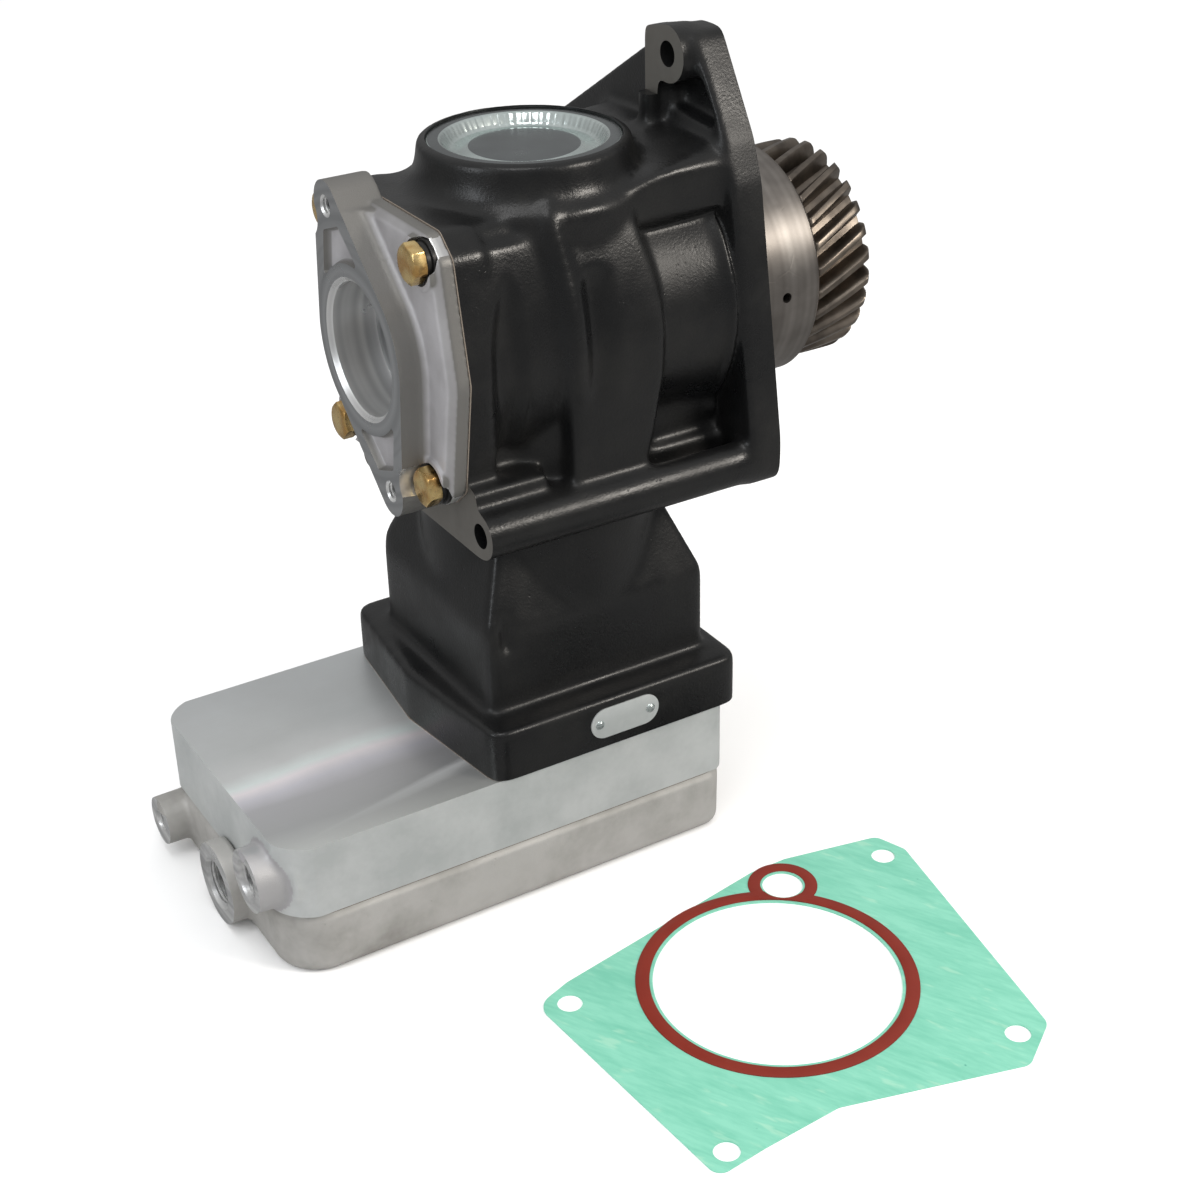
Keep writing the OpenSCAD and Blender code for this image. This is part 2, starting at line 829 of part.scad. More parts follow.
module crankcase() {
    color(cast_black)
    difference() {
        union() {
            crankcase_barrel();
            crankcase_decks();
            crankcase_underside();
            engine_flange();
            cylinder_block();
        }
        crankcase_hollows();
        crankcase_recesses();
        crankcase_holes();
    }
}

// Pressed cup that closes the casting's core hole
plug_rim_w = 7;
plug_cup_depth = 6;
plug_sheet = 2;
plug_centre_r = 28;
plug_centre_rise = 2.4;
plug_wall_lean = 3;
plug_rim_drop = 1.2;

module core_plug() {
    plug_r = plug_d / 2;
    top = plug_top_z - plug_rim_drop;
    wall_top = plug_r - plug_rim_w;
    wall_foot = wall_top - plug_wall_lean;
    floor_z = top - plug_cup_depth;
    rise_foot = plug_centre_r + plug_centre_rise;
    color(zinc)
    translate([cyl_x, 0, 0]) rotate_extrude()
        polygon([
            [0, floor_z + plug_centre_rise], [plug_centre_r, floor_z + plug_centre_rise],
            [rise_foot, floor_z],
            [wall_foot, floor_z], [wall_top, top], [plug_r, top],
            [plug_r, plug_top_z - plug_seat_depth],
            [plug_r - plug_sheet, plug_top_z - plug_seat_depth],
            [plug_r - plug_sheet, top - plug_sheet],
            [wall_top + plug_sheet / 2, top - plug_sheet],
            [wall_foot + plug_sheet / 2, floor_z - plug_sheet],
            [rise_foot - plug_sheet / 2, floor_z - plug_sheet],
            [plug_centre_r - plug_sheet / 2, floor_z + plug_centre_rise - plug_sheet],
            [0, floor_z + plug_centre_rise - plug_sheet]]);
}

// Pump cover: plate, diamond flange and bearing hub

module pump_cover() {
    reach = pump_hole_pcd / 2;
    color(cast_alloy)
    difference() {
        union() {
            along_x(cover_back_x - cover_plate_t + cover_chamfer, cover_back_x)
                polygon(cover_points(0));
            hull() {
                along_x(cover_back_x - cover_plate_t + cover_chamfer,
                    cover_back_x - cover_plate_t + cover_chamfer + touch)
                    polygon(cover_points(0));
                along_x(cover_back_x - cover_plate_t, cover_back_x - cover_plate_t + touch)
                    polygon(cover_points(cover_chamfer));
            }
            along_x(pump_face_x, cover_back_x - overrun) polygon(pump_outline_points());
            rod_x(hub_r, cover_back_x - overrun, hub_back_x);
        }
        rod_x(pump_bore_d / 2, pump_face_x - overrun, pump_face_x + pump_bore_depth);
        cone_x(pump_bore_d / 2 + pump_bore_chamfer, pump_bore_d / 2, pump_face_x - touch,
            pump_face_x + pump_bore_chamfer);
        rod_x(dog_hole_r, pump_face_x + pump_bore_depth - overrun, hub_back_x + overrun);
        rod_x(bearing_or, bearing_back_x - bearing_w, hub_back_x + overrun);
        rod_x(bearing_or + circlip_seat, bearing_back_x, bearing_back_x + circlip_t);
        for (s = [0, 180]) rotate([s, 0, 0]) {
            at(reach * [cos(pump_hole_angle), sin(pump_hole_angle)])
                rod_x(pump_hole_d / 2, pump_face_x - overrun, pump_face_x + pump_hole_depth);
            along_x(pump_face_x - overrun, pump_face_x + pump_pocket_depth)
                polygon(pump_pocket_points());
        }
        cover_bolt_places() {
            rod_x(cover_bolt_d / 2 + free_gap, pump_face_x, cover_back_x + overrun);
            rod_x(spotface_r, pump_face_x - overrun, cover_back_x - cover_plate_t + spotface_depth);
        }
    }
}

module pump_cover_gasket() {
    color(gasket_paper)
    difference() {
        along_x(cover_back_x, front_x) polygon(cover_points(0));
        rod_x(front_open_r, cover_back_x - overrun, front_x + overrun);
        cover_bolt_places() rod_x(cover_bolt_d / 2 + free_gap, cover_back_x - overrun,
            front_x + overrun);
    }
}

washer_seat_x = cover_back_x - cover_plate_t + spotface_depth;
bolt_seat_x = washer_seat_x - plain_washer_t - lock_washer_t;

module cover_bolts() {
    color(yellow_zinc)
    cover_bolt_places() {
        hex_x(cover_bolt_head_af, bolt_seat_x - cover_bolt_head_h, bolt_seat_x, cover_bolt_chamfer);
        rod_x(cover_bolt_d / 2 - run_gap, bolt_seat_x - touch, front_x + cover_bolt_grip);
    }
}

module cover_lock_washers() {
    color(black_oxide)
    cover_bolt_places() difference() {
        ring_x(lock_washer_r, cover_bolt_d / 2 + free_gap, bolt_seat_x, bolt_seat_x + lock_washer_t);
        translate([bolt_seat_x - overrun, 0, -free_gap])
            cube([lock_washer_t + 2 * overrun, lock_washer_r + overrun, 2 * free_gap]);
    }
}

module cover_plain_washers() {
    color(black_oxide)
    cover_bolt_places()
        ring_x(plain_washer_r, cover_bolt_d / 2 + free_gap, bolt_seat_x + lock_washer_t, washer_seat_x);
}

// Front ball bearing, held in the cover's hub by a circlip

front_journal_r = front_journal_d / 2;
bearing_front_x = bearing_back_x - bearing_w;
bearing_mid_x = (bearing_front_x + bearing_back_x) / 2;
ball_pitch_r = (front_journal_r + bearing_or) / 2;

module race_groove() {
    translate([bearing_mid_x, 0, 0]) rotate([0, 90, 0])
        rotate_extrude() translate([ball_pitch_r, 0]) circle(r = race_groove_r, $fn = 32);
}

module front_bearing_outer_race() {
    color(bright_steel)
    difference() {
        ring_x(bearing_or, bearing_or - race_t, bearing_front_x, bearing_back_x);
        race_groove();
    }
}

module front_bearing_inner_race() {
    color(bright_steel)
    difference() {
        ring_x(front_journal_r + race_t, front_journal_r, bearing_front_x, bearing_back_x);
        race_groove();
    }
}

module front_bearing_balls() {
    color(bright_steel)
    for (i = [0 : ball_count - 1]) rotate([i * 360 / ball_count, 0, 0])
        translate([bearing_mid_x, ball_pitch_r, 0]) sphere(r = ball_r, $fn = 24);
}

module front_bearing_circlip() {
    color(black_oxide)
    difference() {
        ring_x(bearing_or + circlip_seat, bearing_or + circlip_seat - circlip_in, bearing_back_x,
            bearing_back_x + circlip_t);
        translate([bearing_back_x - overrun, -circlip_in, 0])
            cube([circlip_t + 2 * overrun, 2 * circlip_in, bearing_or + 2 * circlip_seat]);
    }
}

// Rear plain bush, thrust washer and seal

module rear_bearing_bush() {
    color(bronze)
    difference() {
        ring_x(rear_journal_d / 2 + bush_t, rear_journal_d / 2 + run_gap, bush_front_x, bush_back_x);
        translate([oil_drilling_x, 0, 0]) rotate([90, 0, 0])
            cylinder(r = oil_drilling_r, h = rear_journal_d);
    }
}

module thrust_washer() {
    color(bronze)
    ring_x(rear_journal_d / 2 + thrust_washer_w, rear_journal_d / 2 + free_gap,
        chamber_back_x - thrust_washer_t, chamber_back_x);
}

module shaft_seal() {
    seat_r = rear_journal_d / 2 + bush_t - touch;
    lip_r = rear_journal_d / 2 + run_gap;
    case_in = seat_r - seal_case_t;
    color(black_oxide)
    translate([spigot_len - seal_w - seal_inset, 0, 0]) rotate([0, 90, 0]) rotate_extrude()
        polygon([
            [lip_r, seal_w / 2 - seal_lip_t], [lip_r, seal_w / 2], [lip_r + seal_lean, seal_w],
            [seat_r, seal_w],
            [seat_r, 0], [case_in, 0], [case_in, seal_w - seal_case_t],
            [lip_r + seal_lean + seal_web_t, seal_w - seal_case_t]]);
}

// Crankshaft: two round webs, front and rear journals, nose and gear seat

module crankshaft() {
    journal_r = rear_journal_d / 2;
    color(bright_steel)
    difference() {
        union() {
            rod_x(front_journal_r, bearing_front_x, front_web_x + overrun);
            rod_x(shoulder_r, bearing_back_x, front_web_x + overrun);
            web(front_web_x);
            web(rear_web_x);
            rod_x(journal_r + rear_collar_w, rear_web_x + web_t - overrun,
                chamber_back_x - thrust_washer_t - run_gap);
            rod_x(journal_r, rear_web_x + web_t, gear_front_x);
            rod_x(gear_seat_r, gear_front_x - overrun, gear_back_x - gear_counterbore - gear_clamp_gap);
            rod_x(gear_thread_r, gear_back_x - gear_counterbore - overrun,
                gear_back_x + gear_thread_end);
        }
        // Slot for the pump drive in the front end
        translate([bearing_front_x - overrun, -dog_slot_w / 2, -front_journal_r - overrun])
            cube([dog_slot_depth + overrun, dog_slot_w, 2 * (front_journal_r + overrun)]);
        // Oil way from the rear journal
        rod_x(oil_way_r, rear_web_x + web_t / 2, gear_front_x);
        translate([oil_drilling_x, 0, 0]) rotate([90, 0, 0])
            cylinder(r = oil_way_r / 2, h = rear_journal_d);
        // Keyway under the gear
        translate([key_x, -key_w / 2, gear_seat_r - key_sink]) cube([key_len, key_w, key_h]);
    }
}

module web(x) {
    cone_x(web_d / 2 - web_round, web_d / 2, x, x + web_round);
    rod_x(web_d / 2, x + web_round - touch, x + web_t - web_round + touch);
    cone_x(web_d / 2, web_d / 2 - web_round, x + web_t - web_round, x + web_t);
}

module pump_drive_dog() {
    front = bearing_front_x - dog_len;
    reach = dog_r - dog_tang_inset;
    color(dark_steel)
    difference() {
        union() {
            rod_x(dog_r, front, bearing_front_x - touch);
            translate([bearing_front_x - overrun, -dog_tang_w / 2, -reach])
                cube([overrun + dog_slot_depth - free_gap, dog_tang_w, 2 * reach]);
        }
        translate([front - overrun, -dog_r - overrun, -dog_slot_w / 2])
            cube([dog_slot_depth - free_gap + overrun, 2 * (dog_r + overrun), dog_slot_w]);
        rod_x(dog_slot_w / 2, front - overrun, bearing_front_x - overrun);
    }
}

// Helical drive gear

function tooth_points() =
    let (pitch = 360 / gear_teeth)
    [for (i = [0 : gear_teeth - 1], q = [
            [gear_root_r, -tooth_root_share / 2], [gear_pitch_r, -tooth_pitch_half_share / 2],
            [gear_tip_r, -tooth_tip_share / 2], [gear_tip_r, tooth_tip_share / 2],
            [gear_pitch_r, tooth_pitch_half_share / 2], [gear_root_r, tooth_root_share / 2]])
        let (t = pitch * (i + q[1])) q[0] * [cos(t), sin(t)]];

gear_twist = gear_w * tan(helix_angle) / gear_pitch_r * 180 / PI;

module toothed_rim() {
    intersection() {
        translate([gear_front_x, 0, 0]) rotate([0, 90, 0])
            linear_extrude(gear_w, twist = gear_twist, slices = gear_slices) polygon(tooth_points());
        union() {
            cone_x(gear_tip_r - tooth_chamfer, gear_tip_r + touch, gear_front_x - touch,
                gear_front_x + tooth_chamfer);
            rod_x(gear_tip_r + touch, gear_front_x + tooth_chamfer, gear_back_x - tooth_chamfer);
            cone_x(gear_tip_r + touch, gear_tip_r - tooth_chamfer, gear_back_x - tooth_chamfer,
                gear_back_x + touch);
        }
    }
}

module drive_gear() {
    color(dark_steel)
    difference() {
        toothed_rim();
        rod_x(gear_seat_r + touch, gear_front_x - overrun, gear_back_x - gear_counterbore + overrun);
        rod_x(gear_counterbore_r, gear_back_x - gear_counterbore, gear_back_x + overrun);
        ring_x(gear_web_r, gear_web_in_r, gear_back_x - gear_web_dish, gear_back_x + overrun);
        ring_x(gear_web_r, gear_web_in_r, gear_front_x - overrun, gear_front_x + gear_web_dish);
        translate([key_x - overrun, -key_w / 2, 0])
            cube([key_len + 2 * overrun, key_w, gear_seat_r + key_h - key_sink]);
    }
}

module gear_key() {
    color(bright_steel)
    translate([key_x, -key_w / 2, gear_seat_r - key_sink]) cube([key_len, key_w, key_h - touch]);
}

nut_x = gear_back_x - gear_counterbore + nut_washer_t;

module gear_nut() {
    color(bright_steel)
    difference() {
        mirror([1, 0, 0]) hex_x(nut_af, -nut_x - nut_h, -nut_x, nut_chamfer);
        rod_x(gear_thread_r, nut_x - overrun, nut_x + nut_h + overrun);
    }
}

module gear_nut_washer() {
    color(bright_steel)
    ring_x(nut_washer_r, gear_thread_r + run_gap, gear_back_x - gear_counterbore, nut_x);
}

// Crankpin, connecting rod and its bearings; the piston is at its lowest, top dead centre

big_end_z = -crank_r;
small_end_z = big_end_z - rod_len;
pin_r = crankpin_d / 2;
shell_out_r = pin_r + shell_t;
big_end_r = shell_out_r + big_end_wall;
big_end_bolt_y = shell_out_r + rod_bolt_d / 2 + rod_bolt_wall;
big_end_lug_r = rod_bolt_d / 2 + big_end_lug_wall;

module at_big_end() {
    translate([cyl_x, 0, big_end_z]) children();
}

module crankpin() {
    color(bright_steel)
    at_big_end() rod_x(pin_r - run_gap, -rod_w / 2, rod_w / 2);
}

module big_end_shells() {
    color(bronze)
    at_big_end() difference() {
        ring_x(shell_out_r, pin_r, -rod_w / 2, rod_w / 2);
        translate([-rod_w / 2 - overrun, -shell_out_r - overrun, -rod_joint_gap])
            cube([rod_w + 2 * overrun, 2 * (shell_out_r + overrun), 2 * rod_joint_gap]);
    }
}

module big_end_body() {
    rod_x(big_end_r, -rod_w / 2, rod_w / 2);
    for (s = [-1, 1]) translate([0, s * big_end_bolt_y, -rod_lug_h])
        cylinder(r = big_end_lug_r, h = rod_lug_h + cap_lug_h);
}

module big_end_holes() {
    rod_x(shell_out_r, -rod_w, rod_w);
    for (s = [-1, 1]) translate([0, s * big_end_bolt_y, -rod_lug_h - overrun])
        cylinder(r = rod_bolt_d / 2, h = rod_lug_h + cap_lug_h + 2 * overrun);
    // Flats for the bolt heads and the lugs' undersides
    for (s = [-1, 1]) translate([0, s * big_end_bolt_y, cap_lug_h])
        cylinder(r = big_end_lug_r + rod_bolt_wall, h = big_end_r);
}

module connecting_rod() {
    color(dark_steel)
    difference() {
        union() {
            at_big_end() intersection() {
                big_end_body();
                along_z(-2 * big_end_r, -rod_joint_gap) square(4 * big_end_r, center = true);
            }
            translate([cyl_x, 0, small_end_z]) rod_x(small_end_r, -small_end_w / 2, small_end_w / 2);
            along_x(cyl_x - shank_t / 2, cyl_x + shank_t / 2)
                polygon([[-shank_w_low / 2, big_end_z - pin_r], [shank_w_low / 2, big_end_z - pin_r],
                    [shank_w_top / 2, small_end_z], [-shank_w_top / 2, small_end_z]]);
        }
        for (s = [-1, 1]) translate([s * (shank_t + shank_web_t) / 2, 0, 0])
            along_x(cyl_x - shank_t / 2, cyl_x + shank_t / 2)
                polygon([[-shank_w_low / 2 + shank_flange, big_end_z - big_end_r - shank_flange],
                    [shank_w_low / 2 - shank_flange, big_end_z - big_end_r - shank_flange],
                    [shank_w_top / 2 - shank_flange, small_end_z + small_end_r + shank_flange],
                    [-shank_w_top / 2 + shank_flange, small_end_z + small_end_r + shank_flange]]);
        at_big_end() big_end_holes();
        translate([cyl_x, 0, small_end_z])
            rod_x(wrist_pin_d / 2 + small_bush_t, -small_end_w, small_end_w);
    }
}

module rod_cap() {
    color(dark_steel)
    at_big_end() difference() {
        intersection() {
            big_end_body();
            along_z(rod_joint_gap, 2 * big_end_r) square(4 * big_end_r, center = true);
        }
        big_end_holes();
    }
}

module rod_bolts() {
    color(black_oxide)
    at_big_end() for (s = [-1, 1]) translate([0, s * big_end_bolt_y, 0]) {
        translate([0, 0, cap_lug_h]) cylinder(r = rod_bolt_head_r, h = rod_bolt_head_h, $fn = 6);
        translate([0, 0, -rod_lug_h]) cylinder(r = rod_bolt_d / 2 - touch,
            h = rod_lug_h + cap_lug_h + touch);
    }
}

module small_end_bush() {
    color(bronze)
    translate([cyl_x, 0, small_end_z])
        ring_x(wrist_pin_d / 2 + small_bush_t, wrist_pin_d / 2 + run_gap, -small_end_w / 2,
            small_end_w / 2);
}

module wrist_pin() {
    color(bright_steel)
    translate([cyl_x, 0, small_end_z]) ring_x(wrist_pin_d / 2, pin_bore_r, -pin_len / 2, pin_len / 2);
}

module pin_circlips() {
    clip_r = wrist_pin_d / 2 + circlip_seat;
    color(black_oxide)
    translate([cyl_x, 0, small_end_z]) for (s = [-1, 1])
        translate([s * (pin_len + circlip_wire) / 2, 0, 0])
        difference() {
            ring_x(clip_r, clip_r - 2 * circlip_wire, -circlip_wire / 2, circlip_wire / 2);
            translate([-circlip_wire, -circlip_wire, 0])
                cube([2 * circlip_wire, 2 * circlip_wire, 2 * clip_r]);
        }
}

// Piston, crown down
piston_r = bore_d / 2 - piston_clear;
crown_z = -deck_drop + piston_top_gap;

module ring_groove(from_crown, h) {
    difference() {
        translate([cyl_x, 0, crown_z + from_crown]) cylinder(r = piston_r + overrun, h = h);
        translate([cyl_x, 0, crown_z + from_crown - overrun])
            cylinder(r = piston_r - ring_groove_depth, h = h + 2 * overrun);
    }
}

module piston() {
    skirt_top = small_end_z + piston_skirt;
    inner_r = piston_r - piston_wall;
    color(cast_alloy)
    difference() {
        translate([cyl_x, 0, crown_z]) cylinder(r = piston_r, h = skirt_top - crown_z);
        difference() {
            translate([cyl_x, 0, crown_z + piston_crown])
                cylinder(r = inner_r, h = skirt_top - crown_z);
            for (s = [-1, 1]) translate([cyl_x, 0, small_end_z])
                rod_x(pin_boss_r, s > 0 ? pin_boss_gap : -bore_d / 2,
                    s > 0 ? bore_d / 2 : -pin_boss_gap);
            for (s = [-1, 1]) translate([cyl_x + s * (pin_boss_gap + bore_d / 2) / 2, 0,
                (crown_z + small_end_z) / 2])
                cube([bore_d / 2 - pin_boss_gap, pin_boss_r, small_end_z - crown_z], center = true);
        }
        ring_groove(ring_land_1, ring_h);
        ring_groove(ring_land_2, ring_h);
        ring_groove(ring_land_3, oil_ring_h);
        translate([cyl_x, 0, small_end_z]) {
            rod_x(wrist_pin_d / 2, -bore_d, bore_d);
            for (s = [-1, 1]) translate([s * (pin_len + circlip_wire) / 2, 0, 0])
                rod_x(wrist_pin_d / 2 + circlip_seat, -circlip_wire / 2, circlip_wire / 2);
        }
    }
}

module piston_ring(from_crown, h) {
    color(dark_steel)
    translate([cyl_x, 0, crown_z + from_crown + ring_side_gap]) difference() {
        cylinder(r = bore_d / 2 - touch, h = h - 2 * ring_side_gap);
        translate([0, 0, -overrun]) cylinder(r = bore_d / 2 - touch - ring_t, h = h + 2 * overrun);
        translate([0, -ring_end_gap / 2, -overrun]) cube([bore_d, ring_end_gap, h + 2 * overrun]);
    }
}

module top_compression_ring() {
    piston_ring(ring_land_1, ring_h);
}

module second_compression_ring() {
    rotate_ring() piston_ring(ring_land_2, ring_h);
}

module rotate_ring() {
    translate([cyl_x, 0, 0]) rotate(120) translate([-cyl_x, 0, 0]) children();
}

module oil_control_ring() {
    rotate_ring() rotate_ring() piston_ring(ring_land_3, oil_ring_h);
}

// Gasket between the cylinder and the valve plate

module cylinder_gasket() {
    color(gasket_paper)
    difference() {
        along_z(-plate_top, -deck_drop) polygon(slab_gasket_points());
        translate([cyl_x, 0, -plate_top - overrun])
            cylinder(r = bore_d / 2 + gasket_inset, h = 2 * overrun + cyl_gasket_t);
        head_bolt_places() translate([0, 0, -plate_top - overrun])
            cylinder(r = head_bolt_d / 2 + free_gap, h = 2 * overrun + cyl_gasket_t);
        dowel_places() translate([0, 0, -plate_top - overrun])
            cylinder(r = dowel_r + touch, h = 2 * overrun + cyl_gasket_t);
    }
}

function slab_gasket_points() =
    let (back = min(cyl_x + slab_back, head_back_x) - gasket_inset,
        front = cyl_x + slab_back - slab_len,
        w = slab_w / 2 - 2 * gasket_inset)
    rounded([[back, -w], [back, w], [front, w], [front - slab_bulge, 0], [front, -w]],
        [slab_corner_r, slab_corner_r, slab_corner_r, slab_corner_r, slab_corner_r]);

// Valve plate: suction port, reeds' seats and water space

module valve_ports(y) {
    for (s = [-1, 1]) translate([cyl_x + s * valve_port_pitch / 2, y, -plate_bottom - overrun])
        cylinder(r = valve_port_r, h = plate_t + 2 * overrun);
}

module valve_plate() {
    inlet_seat = -plate_top - reed_recess;
    color(milled_alloy)
    difference() {
        union() {
            along_z(-plate_bottom, -plate_top) polygon(head_points(0));
            translate([0, suction_y, -plate_top - suction_drop])
                rod_x(suction_boss_r, head_front_x - port_face_out, head_front_x + head_near_r);
        }
        translate([0, suction_y, -plate_top - suction_drop]) {
            rod_x(suction_port_d / 2, head_front_x - port_face_out - overrun,
                head_front_x + suction_depth);
            cone_x(suction_port_d / 2 + port_chamfer, suction_port_d / 2,
                head_front_x - port_face_out - touch,
                head_front_x - port_face_out + port_chamfer);
        }
        // Water space in front of the cylinder, open to the head cover
        translate([head_front_x + suction_depth + water_wall,
            head_shift_y - head_w / 2 + 2 * water_wall, -plate_bottom - overrun])
            cube([cyl_x - slab_back - head_front_x - suction_depth - 2 * water_wall + water_wall / 2,
                head_w - 4 * water_wall, water_depth + overrun]);
        valve_ports(inlet_y);
        valve_ports(delivery_valve_y);
        // Recess of the inlet reed, on the cylinder side
        translate([cyl_x - reed_len / 2 - reed_side_gap, inlet_y - reed_w / 2 - reed_side_gap,
            inlet_seat])
            cube([reed_len + 2 * reed_side_gap, reed_w + 2 * reed_side_gap, reed_recess + overrun]);
        // Recess of the delivery reed, on the cover side
        translate([cyl_x - reed_len / 2 - reed_side_gap, delivery_valve_y - reed_w / 2 - reed_side_gap,
            -plate_bottom - overrun])
            cube([reed_len + 2 * reed_side_gap, reed_w + 2 * reed_side_gap, reed_recess + overrun]);
        for (y = [inlet_y, delivery_valve_y]) translate([cyl_x - reed_len / 2 + reed_clamp / 2, y, 0]) {
            if (y == inlet_y)
                translate([0, 0, inlet_seat - screw_len])
                    cylinder(r = screw_r, h = screw_len + overrun);
            else
                translate([0, 0, -plate_bottom + reed_recess - overrun])
                    cylinder(r = screw_r, h = screw_len + overrun);
        }
        head_bolt_places() translate([0, 0, -plate_bottom - overrun])
            cylinder(r = head_bolt_d / 2 + free_gap, h = plate_t + 2 * overrun);
        dowel_places() translate([0, 0, -plate_top - dowel_len / 2])
            cylinder(r = dowel_r, h = dowel_len);
    }
}

function reed_points() =
    let (x0 = cyl_x - reed_len / 2, x1 = cyl_x + reed_len / 2, w = reed_w / 2)
    rounded([[x0, -w], [x1, -w], [x1, w], [x0, w]],
        [reed_corner_r, reed_w / 2 - touch, reed_w / 2 - touch, reed_corner_r]);

module reed(y, z) {
    color(bright_steel)
    translate([0, y, z]) difference() {
        linear_extrude(reed_t) polygon(reed_points());
        translate([cyl_x - reed_len / 2 + reed_clamp / 2, 0, -overrun])
            cylinder(r = reed_hole_r, h = 2 * overrun + reed_t);
    }
}

module inlet_reed() {
    reed(inlet_y, -plate_top - reed_recess + touch);
}

module delivery_reed() {
    reed(delivery_valve_y, -plate_bottom + reed_recess - reed_t - touch);
}

// Stop that limits the delivery reed's lift
module delivery_reed_stop() {
    x0 = cyl_x - reed_len / 2;
    x1 = x0 + reed_clamp;
    x2 = x0 + reed_len;
    root = reed_recess - reed_t - reed_root_lift;
    tip = root - reed_lift;
    color(dark_steel)
    translate([0, 0, -plate_bottom]) difference() {
        along_y(delivery_valve_y - reed_w / 2, delivery_valve_y + reed_w / 2)
            polygon([[x0, root], [x1, root], [x2, tip], [x2, tip - stop_t / 2], [x1, root - stop_t],
                [x0, root - stop_t]]);
        translate([x0 + reed_clamp / 2, delivery_valve_y, root - stop_t - overrun])
            cylinder(r = screw_r + run_gap, h = stop_t + 2 * overrun);
    }
}

module reed_screws() {
    inlet_head_z = -plate_top - reed_recess + reed_t + reed_root_lift;
    stop_z = -plate_bottom + reed_recess - reed_t - reed_root_lift - stop_t;
    color(bright_steel)
    translate([cyl_x - reed_len / 2 + reed_clamp / 2, 0, 0]) {
        translate([0, inlet_y, inlet_head_z]) cylinder(r = screw_head_r, h = screw_head_h);
        translate([0, inlet_y, inlet_head_z - screw_len])
            cylinder(r = screw_r - run_gap, h = screw_len + touch);
        translate([0, delivery_valve_y, stop_z - screw_head_h])
            cylinder(r = screw_head_r, h = screw_head_h);
        translate([0, delivery_valve_y, stop_z - touch]) cylinder(r = screw_r - run_gap, h = screw_len);
    }
}

module head_gasket() {
    color(gasket_paper)
    difference() {
        along_z(-cover_top, -plate_bottom) polygon(head_points(gasket_inset));
        along_z(-cover_top - overrun, -plate_bottom + overrun)
            polygon(head_points(cover_wall + gasket_inset));
    }
}

// Cast head cover, hollow for air and water, with the delivery and unloader ports

module head_cover() {
    delivery_z = -cover_top - delivery_drop;
    unloader_z = -cover_top - unloader_drop;
    color(cast_alloy)
    difference() {
        union() {
            along_z(base_z, -cover_top) polygon(head_points(0));
            translate([0, delivery_y, delivery_z]) intersection() {
                rod_x(delivery_boss_r, head_front_x - port_face_out, head_front_x + delivery_depth);
                union() {
                    rod_x(2 * delivery_boss_r, head_front_x - port_face_out - overrun,
                        head_front_x - free_gap);
                    translate([head_front_x - overrun, -2 * delivery_boss_r, -2 * delivery_boss_r])
                        cube([delivery_depth + 2 * overrun, 4 * delivery_boss_r,
                            2 * delivery_boss_r + delivery_drop]);
                }
            }
            translate([0, unloader_y, unloader_z])
                rod_x(unloader_boss_r, head_front_x - unloader_face_out,
                    head_front_x + unloader_boss_len);
        }
        difference() {
            along_z(base_z + cover_floor, -cover_top + overrun) polygon(head_points(cover_wall));
            head_bolt_places() along_z(base_z, overrun - cover_top)
                circle(r = head_bolt_pocket_r + cover_rib_t / 2);
            translate([0, delivery_y, delivery_z])
                rod_x(delivery_boss_r, head_front_x, head_front_x + delivery_depth);
            translate([0, unloader_y, unloader_z])
                rod_x(unloader_boss_r, head_front_x, head_front_x + unloader_boss_len);
            translate([head_front_x + delivery_depth + 2 * cover_rib_t, -head_w / 2, base_z])
                cube([cover_rib_t, head_w, head_cover_h]);
            translate([cyl_x - head_bolt_x, -cover_rib_t / 2, base_z])
                cube([2 * head_bolt_x, cover_rib_t, head_cover_h]);
        }
        translate([0, delivery_y, delivery_z]) {
            rod_x(delivery_port_d / 2, head_front_x - port_face_out - overrun,
                head_front_x + delivery_depth + overrun);
            cone_x(delivery_port_d / 2 + port_chamfer, delivery_port_d / 2,
                head_front_x - port_face_out - touch,
                head_front_x - port_face_out + port_chamfer);
        }
        translate([0, unloader_y, unloader_z]) {
            rod_x(unloader_port_d / 2, head_front_x - unloader_face_out - overrun,
                head_front_x + unloader_depth);
            cone_x(unloader_port_d / 2 + port_chamfer, unloader_port_d / 2,
                head_front_x - unloader_face_out - touch,
                head_front_x - unloader_face_out + port_chamfer);
        }
        head_bolt_places() {
            along_z(base_z - overrun, -cover_top + overrun) circle(r = head_bolt_d / 2 + free_gap);
            along_z(base_z - overrun, base_z + head_bolt_pocket_h) circle(r = head_bolt_pocket_r);
        }
    }
}

module head_bolts() {
    seat = base_z + head_bolt_pocket_h;
    color(black_oxide)
    head_bolt_places() difference() {
        union() {
            along_z(seat - head_bolt_head_h, seat) circle(r = head_bolt_head_r);
            along_z(seat - touch, -deck_drop + head_bolt_grip - head_bolt_tip_gap)
                circle(r = head_bolt_d / 2 - run_gap);
        }
        translate([0, 0, seat - head_bolt_head_h - overrun])
            cylinder(r = head_bolt_socket_r, h = head_bolt_socket_depth + overrun, $fn = 6);
    }
}

module dowel_pins() {
    color(bright_steel)
    dowel_places() along_z(-plate_top - dowel_len / 2 + dowel_tip_gap,
        -deck_drop + dowel_len / 2 - dowel_tip_gap)
        circle(r = dowel_r - run_gap);
}

// Bare nameplate and its two drive rivets

